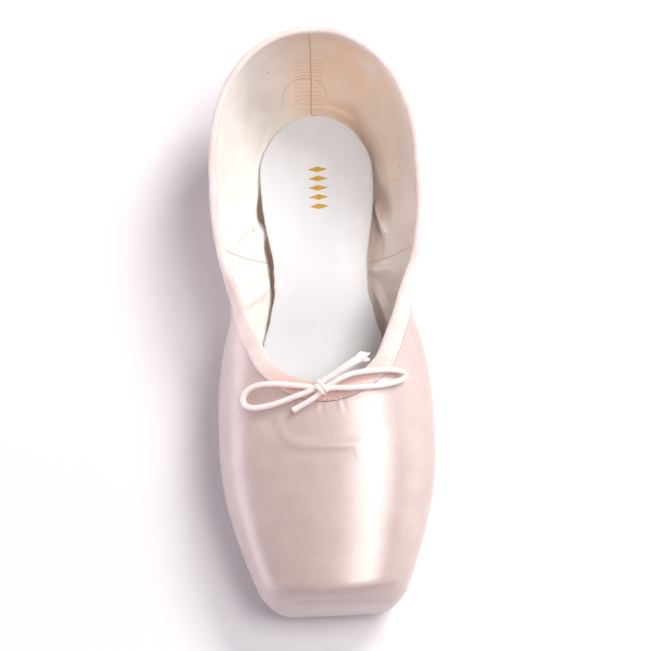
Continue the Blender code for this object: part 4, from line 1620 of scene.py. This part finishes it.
    def pleats(self) -> Array:
        """Give the relief of the pleats that draw the satin in under the toe and the heel.

        Returns:
            The pleats' height at each point.
        """
        station = self.last.station(self.points[..., 1])
        toe = fade(station, self.last.length - self.pleat_toe[0], self.last.length - self.pleat_toe[1])
        heel = 0.6 * (1 - fade(station, *self.pleat_heel))
        run = self.round_run
        wander = 0.9 * np.sin(run / (9 * MM)) + 0.5 * np.sin(run / (4.1 * MM) + 1.0)
        fold = np.abs(np.sin(math.pi * run / self.pleat + wander)) ** 0.7 - 0.6
        band = fade(self.above, 4.6 * MM, 6.8 * MM) * (1 - fade(self.above, 13 * MM, 22 * MM))
        under = 1 - fade(self.normals[..., 2], -0.75, 0.1)
        return self.pleat_depth * (toe + heel) * band * under * fold[None]

    def gathers(self) -> Array:
        """Give the small puckers that the drawstring makes in the satin at the throat.

        Returns:
            The puckers' height at each point.
        """
        across, y = self.points[..., 0], self.points[..., 1]
        bearing = np.arctan2(across, -(y + 12 * MM))
        front = np.exp(-(across / self.gather_reach) ** 2) * (y < -20 * MM)
        # Two counts round the throat that don't fall into step keep the puckers uneven.
        ripple = np.sin(bearing * 47) + 0.6 * np.sin(bearing * 71 + 1.3)
        below = fade(self.depth, 5.5 * MM, 7.5 * MM) * (1 - fade(self.depth, 8 * MM, 13 * MM))
        return self.gather_depth * front * ripple * below

    def front(self) -> Array:
        """Let the stiff box push the satin forward over the middle of the platform's upper edge.

        Returns:
            How far each point is moved, as a vector.
        """
        tip = self.last.length / 2
        ahead = fade(-self.points[..., 1], tip - self.full_ahead[0], tip - self.full_ahead[1])
        across = np.clip(1 - (self.points[..., 0] / self.full_half_width) ** 2, 0, 1)
        push = self.fullness * ahead * across * fade(self.points[..., 2], *self.full_height)
        return push[..., None] * np.array([0, -1.0, 0])

    def back(self, inset: float) -> Array:
        """Give fewer rings, drawn in, for a side of the cloth that doesn't show.

        Args:
            inset: How far they are drawn in.

        Returns:
            Points by ring and rib.
        """
        pick = np.linspace(0, self.rings - 1, self.back_rings).round().astype(int)
        return self.points[pick] - inset * self.normals[pick]

    def build_satin(self) -> None:
        """Build the satin, with its creases, seams, gathers and pleats."""
        clear = fade(self.depth, *self.casing_clear) * fade(self.above, 3.5 * MM, 7 * MM)
        relief = sum(crease.relief(self.points) for crease in self.creases) * clear
        relief = relief + self.seams() * fade(self.above, 5 * MM, 9 * MM) + self.gathers() + self.pleats()
        outer = self.points + relief[..., None] * self.normals + self.front()
        dress(shell_piece("satin_upper", outer, self.back(self.satin), SATIN.material(), self.places()),
              "satin", "upper")

    def build_lining(self) -> None:
        """Build the canvas lining and the stiffened box behind it."""
        wall = self.last.wall(self.last.station(self.points[..., 1]), self.depth)[..., None]
        face = self.points - wall * self.normals
        relief = sum(crease.relief(face) for crease in self.lining_creases)
        relief = relief * fade(self.depth, *self.casing_clear) * fade(self.above, 7 * MM, 12 * MM)
        inner = face - relief[..., None] * self.normals
        outer = self.back(self.satin + self.gap)
        dress(shell_piece("canvas_lining", inner, outer, CANVAS.material(), self.places()),
              "satin", "upper")


@dataclass
class LiningDetails:
    """What is sewn to the lining: the heel's seam, bars and rounded patch, and the two side seams."""

    last: Last
    heel_seam: Route = ((-0.1, 114.3, 51.5), (-0.1, 116.4, 33.1), (-0.4, 114.0, 19.0), (-0.5, 110.4, 12.1),
                        (-0.9, 106.0, 6.5), (-1.1, 100.4, 4.4))
    patch: Route = ((-13.2, 103.2, 8.9), (-12.3, 107.0, 12.6), (-10.2, 109.6, 14.7), (-8.0, 111.0, 15.5),
                    (-5.0, 111.9, 15.6), (-2.5, 112.2, 15.3), (0.4, 111.8, 14.4), (3.3, 110.7, 12.9),
                    (5.3, 109.0, 10.9), (6.0, 107.0, 8.7))
    side_seams: tuple[Route, ...] = (
        ((-38.0, 29.5, 31.2), (-33.5, 30.9, 20.4), (-29.5, 31.3, 14.5), (-25.2, 32.0, 9.3),
         (-21.5, 31.9, 7.3)),
        ((20.7, 30.2, 7.4), (24.8, 30.1, 9.5), (28.9, 29.6, 14.2), (33.8, 29.2, 21.3), (37.7, 28.0, 30.9)),
    )
    bar_rows: tuple[Route, ...] = (
        ((-7.1, 115.0, 26.3), (-7.4, 112.9, 19.1), (-7.7, 110.0, 13.6), (-8.0, 106.6, 9.1),
         (-8.3, 102.7, 5.5)),
        ((5.0, 115.2, 24.6), (4.8, 113.0, 17.7), (4.5, 110.0, 12.2), (4.3, 106.6, 7.7), (4.0, 102.4, 4.7)),
    )
    bar_pitch: float = 1.9 * MM

    def build(self) -> None:
        """Build the seams and bars as one piece, and the two rows of stitches beside the bars."""
        routes = [(self.heel_seam, 0.24), (self.patch, 0.1), *((seam, 0.17) for seam in self.side_seams)]
        lines = [(through_points(route, 0.8 * MM), radius) for route, radius in routes]
        left, right = (through_points(row, self.bar_pitch) for row in self.bar_rows)
        for bar, (start, end) in enumerate(zip(left, right)):
            share = np.linspace(0, 1, 15)[:, None]
            wave = 0.2 * MM * np.sin(7 * share + bar) * np.array([0, 0, 1.0])
            lines.append((start + (end - start) * share + wave, 0.07))
        tubes = []
        for path, radius in lines:
            path = self.last.on_lining(path)
            tubes.append(tube(path, np.full(len(path), radius * MM), 6))
        points, faces, uv = joined(tubes)
        dress(mesh_piece("lining_seams", points, faces, SEAM.material(), uv), "cord_cotton")
        for side, row in zip(("left", "right"), (left, right)):
            row = self.last.on_lining(row)
            StitchRow(f"heel_stitches_{side}", row, -self.last.normals(row), 1.7 * MM, 1.0 * MM, 0.22 * MM,
                      closed=False).build()


@dataclass
class Casing:
    """The drawstring casing, folded over the collar's edge, with its stitches."""

    last: Last
    width: float = 6.5 * MM
    width_skew: float = 0.6 * MM
    thickness: float = 0.5 * MM
    clearance: float = 0.15 * MM
    ribs: int = 960
    cord_swell: float = 0.1 * MM
    cord_depth: float = 1.6 * MM
    fine_pucker: float = 0.1 * MM
    slow_pucker: float = 0.035 * MM
    stitch_inset: float = 1.1 * MM
    stitch: tuple[float, float, float] = (2.3 * MM, 1.5 * MM, 0.34 * MM)

    def __post_init__(self) -> None:
        """Draw lines down the wall from the collar's edge, as far as the casing needs."""
        self.lines = self.last.lines(self.ribs, 26, 0.24)
        self.depth = runs(self.lines)

    def at_depth(self, goal: Array) -> Array:
        """Read a ring at a depth below the collar's edge.

        Args:
            goal: The depth wanted at each rib.

        Returns:
            One point for each rib.
        """
        steps = len(self.lines)
        ring = np.empty((self.ribs, 3))
        for rib in range(self.ribs):
            place = np.interp(goal[rib], self.depth[:, rib], np.arange(steps))
            low = min(int(place), steps - 2)
            start, end = self.lines[low:low + 2, rib]
            ring[rib] = start + (place - low) * (end - start)
        return ring

    def widths(self) -> tuple[Array, Array]:
        """Give how far down the casing reaches at each rib.

        Returns:
            Its width outside, a little more on the right, and inside, where it is turned in short at the
            heel.
        """
        edge = self.lines[0]
        sideways = np.clip(edge[:, 0] / (25 * MM), -1, 1)
        outer = self.width + self.width_skew * sideways
        heel = fade(edge[:, 1], 50 * MM, 100 * MM)
        return outer, outer * (1 - heel * (0.8 - 0.3 * np.clip(sideways, 0, 1)))

    def pucker(self, ring: Array, depth: Array) -> Array:
        """Give the small swells of the gathered casing.

        Args:
            ring: One point for each rib.
            depth: How far each of its points lies below the collar's edge.

        Returns:
            The swell at each point.
        """
        run = runs(np.vstack([ring, ring[:1]]))[:-1]
        front = np.exp(-(ring[:, 0] / (12 * MM)) ** 2) * (ring[:, 1] < -15 * MM)
        # Waves that never fall into step keep the gathers uneven.
        fine = np.sin(run / (0.62 * MM)) + 0.7 * np.sin(run / (0.41 * MM) + 2)
        slow = np.sin(run / (4.3 * MM)) + np.sin(run / (2.9 * MM) + 1) + 0.6 * np.sin(run / (7.7 * MM) + 4)
        return self.fine_pucker * front * fine + self.slow_pucker * slow * (1 - 0.5 * depth / self.width)

    def build(self) -> None:
        """Build the folded band, from its outer edge over the collar to its inner edge, and its stitches."""
        wall, near = self.last.quarter_wall, self.clearance
        far = near + self.thickness
        tuck = 0.05 * MM
        shares = np.linspace(1, 0, 14)
        sides = []
        for width in self.widths():
            side = []
            for share in shares:
                goal = share * width
                ring = self.at_depth(goal)
                side.append((goal, width - goal, ring, self.last.normals(ring)))
            sides.append(side)
        outside, inside = sides
        loop, place = [], []
        for goal, left, ring, normal in outside:
            swell = far * (0.3 + 0.7 * fade(left, 0, 1.2 * MM))
            swell = swell + self.cord_swell * np.exp(-((goal - self.cord_depth) / self.cord_depth) ** 2)
            loop.append(ring + (swell + self.pucker(ring, goal))[:, None] * normal)
            place.append(goal)
        goal, _, top, normal = outside[-1]
        along = top - outside[-3][2]
        upward = along - np.sum(along * normal, axis=1, keepdims=True) * normal
        upward /= np.linalg.norm(upward, axis=1, keepdims=True)
        centre, roll = top - wall / 2 * normal, wall / 2 + far + tuck
        bulge = self.pucker(top, goal)[:, None]
        for angle in np.radians(np.linspace(18, 162, 11)):
            loop.append(centre + (roll + bulge) * (math.cos(angle) * normal + math.sin(angle) * upward))
            place.append(-roll * angle + 0 * goal)
        for goal, left, ring, inward in inside[::-1]:
            swell = wall + near + self.thickness * (0.35 + 0.65 * fade(left, 0, 0.9 * MM))
            loop.append(ring - (swell + self.pucker(ring, goal))[:, None] * inward)
            place.append(-roll * math.pi - goal)
        hidden = [ring - (wall + tuck) * inward for _, _, ring, inward in inside[::3]]
        hidden += [top - (wall + near) * normal + near * upward, top + near * normal + near * upward]
        hidden += [ring + tuck * outward for _, _, ring, outward in outside[::-1][::3][1:]]
        place = np.array(place)
        place = np.hstack([place, place[:, :1]])
        run = runs(np.vstack([top, top[:1]]))
        uv = corner_values(np.stack(np.broadcast_arrays(run[None, :], place), axis=-1))
        shown = np.array(loop)
        piece = shell_piece("drawstring_casing", shown, np.array(hidden)[::-1], CASING.material(), uv)
        row = shown[np.argmin(np.abs(shares - 1 + self.stitch_inset / self.width))]
        StitchRow("casing_stitches", row, self.last.normals(row), *self.stitch).build()
        dress(piece, "binding_cotton", "binding")


@dataclass
class StitchRow:
    """A row of stitches along a route, made by Geometry Nodes."""

    name: str
    route: Array
    outward: Array
    pitch: float
    length: float
    width: float
    closed: bool = True
    seed: int = 3

    def tree(self) -> bpy.types.NodeTree:
        """Give the node tree that lays stitches along an edge line, which is made once.

        Returns:
            The tree.
        """
        if "stitches" in bpy.data.node_groups:
            return bpy.data.node_groups["stitches"]
        tree = bpy.data.node_groups.new("stitches", "GeometryNodeTree")
        face = tree.interface
        face.new_socket("Geometry", in_out="INPUT", socket_type="NodeSocketGeometry")
        for name in ("Pitch", "Length", "Width"):
            face.new_socket(name, in_out="INPUT", socket_type="NodeSocketFloat")
        face.new_socket("Seed", in_out="INPUT", socket_type="NodeSocketInt")
        face.new_socket("Material", in_out="INPUT", socket_type="NodeSocketMaterial")
        face.new_socket("Geometry", in_out="OUTPUT", socket_type="NodeSocketGeometry")
        given = add_node(tree, "NodeGroupInput").outputs
        curve = add_node(tree, "GeometryNodeMeshToCurve", {0: given["Geometry"]})
        spots = add_node(tree, "GeometryNodeResampleCurve", {"Curve": curve, "Length": given["Pitch"]},
                         mode="LENGTH")
        outward = add_node(tree, "GeometryNodeInputNamedAttribute", {"Name": "outward"},
                           data_type="FLOAT_VECTOR")
        tangent = add_node(tree, "GeometryNodeInputTangent")
        upright = add_node(tree, "FunctionNodeAlignRotationToVector", {"Vector": outward}, axis="Z")
        laid = add_node(tree, "FunctionNodeAlignRotationToVector", {"Rotation": upright, "Vector": tangent},
                        axis="X", pivot_axis="Z")
        jitter = add_node(tree, "FunctionNodeRandomValue", {2: -0.12, 3: 0.12, "Seed": given["Seed"]},
                          data_type="FLOAT")
        spin = add_node(tree, "ShaderNodeCombineXYZ", {2: jitter.outputs[1]})
        turn = add_node(tree, "FunctionNodeEulerToRotation", {0: spin})
        turned = add_node(tree, "FunctionNodeRotateRotation", {0: laid, 1: turn}, rotation_space="LOCAL")
        ball = add_node(tree, "GeometryNodeMeshUVSphere", {"Segments": 8, "Rings": 5, "Radius": 0.5})
        size = add_node(tree, "ShaderNodeCombineXYZ",
                        {0: given["Length"], 1: given["Width"], 2: given["Width"]})
        stitch = add_node(tree, "GeometryNodeTransform", {"Geometry": ball, "Scale": size})
        smooth = add_node(tree, "GeometryNodeSetShadeSmooth", {0: stitch})
        spread = add_node(tree, "FunctionNodeRandomValue", {2: 0.85, 3: 1.12, "Seed": given["Seed"]},
                          data_type="FLOAT")
        row = add_node(tree, "GeometryNodeInstanceOnPoints", {"Points": spots, "Instance": smooth,
                                                              "Rotation": turned, "Scale": spread.outputs[1]})
        real = add_node(tree, "GeometryNodeRealizeInstances", {0: row})
        dressed = add_node(tree, "GeometryNodeSetMaterial", {0: real, "Material": given["Material"]})
        add_node(tree, "NodeGroupOutput", {0: dressed})
        return tree

    def build(self) -> None:
        """Lay the stitches and turn them into a plain mesh piece."""
        count = len(self.route)
        edges = [(i, (i + 1) % count) for i in range(count if self.closed else count - 1)]
        mesh = bpy.data.meshes.new(self.name + "_line")
        mesh.from_pydata(self.route.tolist(), edges, [])
        mesh.attributes.new("outward", "FLOAT_VECTOR", "POINT").data.foreach_set(
            "vector", self.outward.astype(np.float32).ravel())
        line = placed(self.name + "_line", mesh)
        modifier = line.modifiers.new("stitches", "NODES")
        modifier.node_group = self.tree()
        values = {"Pitch": self.pitch, "Length": self.length, "Width": self.width, "Seed": self.seed,
                  "Material": THREAD.material()}
        for item in modifier.node_group.interface.items_tree:
            if item.in_out == "INPUT" and item.name in values:
                modifier[item.identifier] = values[item.name]
        seen = line.evaluated_get(bpy.context.evaluated_depsgraph_get())
        made = bpy.data.meshes.new_from_object(seen)
        made.name = self.name
        line.modifiers.remove(modifier)
        bpy.data.objects.remove(line)
        if not made.uv_layers:
            made.uv_layers.new(name="cloth")
        made.uv_layers[0].name = "cloth"
        dress(placed(self.name, made), "cord_cotton")


@dataclass
class Insole:
    """The leather sock: a plate with a skived, slightly ragged edge and a row of foil lozenges."""

    last: Last
    skive: float = 1.82 * MM
    edge: float = 0.4 * MM
    sections: int = 260
    lanes: int = 40
    ornament_y: tuple[float, ...] = (73.5, 69.3, 65.1, 60.9, 56.7)
    ornament_size: tuple[float, float] = (8.4, 2.6)
    ornament_x: float = 0.6
    ornament_faces: tuple[float, float] = (0.02, -0.12)
    rag: float = 0.16 * MM
    # How deep the painted-shade strips in the gaps reach.
    strip_depth: float = 0.9 * MM
    gaps: tuple[tuple[float, float, float, float], ...] = ((68.0, 48.0, 1.9, 0.75), (46.5, 2.0, 1.6, 0.2))

    def build(self) -> None:
        """Build the insole and its ornament."""
        self.build_sock()
        self.build_ornament()
        self.build_gap_shade()

    def build_sock(self) -> None:
        """Build the leather plate."""
        last = self.last
        blunt = 0.02
        share = (1 - np.cos(np.linspace(blunt, math.pi - blunt, self.sections))) / 2
        station = last.insole_back + (last.insole_front - last.insole_back) * share
        half = last.insole_half(station)
        chance = np.random.default_rng(11)
        rag = np.convolve(chance.normal(0, 1, self.sections + 8), np.ones(3) / 3, "same")[4:-4]
        top = last.insole_top(station)
        bottom = top - last.insole_thickness
        y = last.length / 2 - station
        low = np.minimum(self.skive, half / 3)
        rows = []
        ragged = half + self.rag * np.clip(rag, -1.6, 1.6) * fade(half, 3 * MM, 8 * MM)
        lanes = np.linspace(-1, 1, self.lanes)
        for lane in lanes:
            rows.append(np.stack([lane * (ragged - self.edge), y, top - 0.05 * MM * lane ** 8], axis=1))
        rows.append(np.stack([ragged, y, top - self.edge * 0.9], axis=1))
        rows.append(np.stack([half, y, bottom + low], axis=1))
        for lane in np.linspace(1, -1, 8):
            rows.append(np.stack([lane * (half - low), y, bottom], axis=1))
        rows.append(np.stack([-half, y, bottom + low], axis=1))
        rows.append(np.stack([-ragged, y, top - self.edge * 0.9], axis=1))
        dress(mesh_piece("leather_sock", *plate_body(rows), SOCK.material()), "sock_leather", "insole")

    def build_gap_shade(self) -> None:
        """Build dark brown strips in the gaps where the sock stands off the lining: painted shade there."""
        last = self.last
        parts = []
        for start, end, wide, peak in self.gaps:
            y = np.linspace(start, end, 60) * MM
            station = last.station(y)
            share = np.linspace(0, 1, 60)
            width = wide * MM * fade(share, 0, peak) * (1 - fade(share, peak, 1)) + 0.05 * MM
            half, top = last.insole_half(station), last.insole_top(station)
            rows = []
            for lane in (0.0, 0.5, 1.0):
                rows.append(np.stack([-(half - 0.5 * MM + (width + 0.5 * MM) * lane), y,
                                      top - (0.75 - 0.55 * lane ** 2) * MM], axis=1))
            rows += [row - np.array([0, 0, self.strip_depth]) for row in rows[::-1]]
            points, faces = plate_body(rows)
            parts.append((points, faces, np.zeros((sum(map(len, faces)), 2))))
        dress(mesh_piece("gap_shade_strips", *joined(parts)[:2], GAP_SHADE.material()), "sock_leather")

    def build_ornament(self) -> None:
        """Build the row of plain foil lozenges pressed into the heel of the sock."""
        points, faces = [], []
        wide, tall = self.ornament_size
        steps = np.linspace(-1, 1, 13)
        for place in self.ornament_y:
            for outer in self.ornament_faces:
                for a in steps:
                    for b in (-1, 1):
                        x = a * wide / 2 + self.ornament_x
                        y = place + b * (1 - abs(a)) * tall / 2
                        z = float(self.last.insole_top(self.last.station(y * MM))) + outer * MM
                        points.append((x * MM, y * MM, z))
            base = len(points) - 4 * len(steps)
            under = base + 2 * len(steps)
            for i in range(len(steps) - 1):
                first = 2 * i
                faces.append([base + first, base + first + 2, base + first + 3, base + first + 1])
                faces.append([under + first + 1, under + first + 3, under + first + 2, under + first])
                faces.append([base + first + 2, base + first, under + first, under + first + 2])
                faces.append([base + first + 1, base + first + 3, under + first + 3, under + first + 1])
        piece = mesh_piece("foil_lozenges", np.array(points), faces, GOLD.material())
        piece.data.shade_flat()
        dress(piece, "sock_leather")


@dataclass
class Outsole:
    """The thin leather outsole, bevelled all round, with a scored channel near its edge."""

    last: Last
    bevel: float = 0.7 * MM
    sections: int = 300
    lanes: int = 60
    channel_inset: float = 3.2 * MM
    channel_width: float = 0.5 * MM
    channel_depth: float = 0.35 * MM

    def build(self) -> None:
        """Build the outsole."""
        last = self.last
        blunt = 0.06
        share = (1 - np.cos(np.linspace(blunt, math.pi - blunt, self.sections))) / 2
        station = last.sole_back + (last.sole_front - last.sole_back) * share
        half = last.sole_half(station)
        y = last.length / 2 - station
        bottom = last.sole_underside(station)
        top = bottom + last.sole_thickness
        low = np.minimum(self.bevel, half / 3)
        high = low / 2
        ends = np.minimum(station - last.sole_back, last.sole_front - station)
        rows = []
        for lane in np.linspace(-1, 1, self.lanes):
            x = lane * (half - low)
            inside = np.minimum(half - np.abs(x), ends)
            channel = np.exp(-((inside - self.channel_inset) / self.channel_width) ** 2)
            rows.append(np.stack([x, y, bottom + self.channel_depth * channel], axis=1))
        rows.append(np.stack([half - 0.3 * low, y, bottom + 0.35 * low], axis=1))
        rows.append(np.stack([half, y, bottom + 1.1 * low], axis=1))
        rows.append(np.stack([half, y, top - high], axis=1))
        for lane in np.linspace(1, -1, 8):
            rows.append(np.stack([lane * (half - high), y, top], axis=1))
        rows.append(np.stack([-half, y, top - high], axis=1))
        rows.append(np.stack([-half, y, bottom + 1.1 * low], axis=1))
        rows.append(np.stack([0.3 * low - half, y, bottom + 0.35 * low], axis=1))
        dress(mesh_piece("leather_outsole", *plate_body(rows), SOLE.material()), "sole_leather", "outsole")


def main() -> None:
    """Build the shoe and its studio."""
    logging.basicConfig(level=logging.INFO, format="%(name)s %(message)s")
    last = Last()
    Camera().build()
    Drawstring().build()
    Upper(last).build()
    LiningDetails(last).build()
    Casing(last).build()
    Insole(last).build()
    Outsole(last).build()
    Studio().build()


if __name__ == "__main__":
    main()
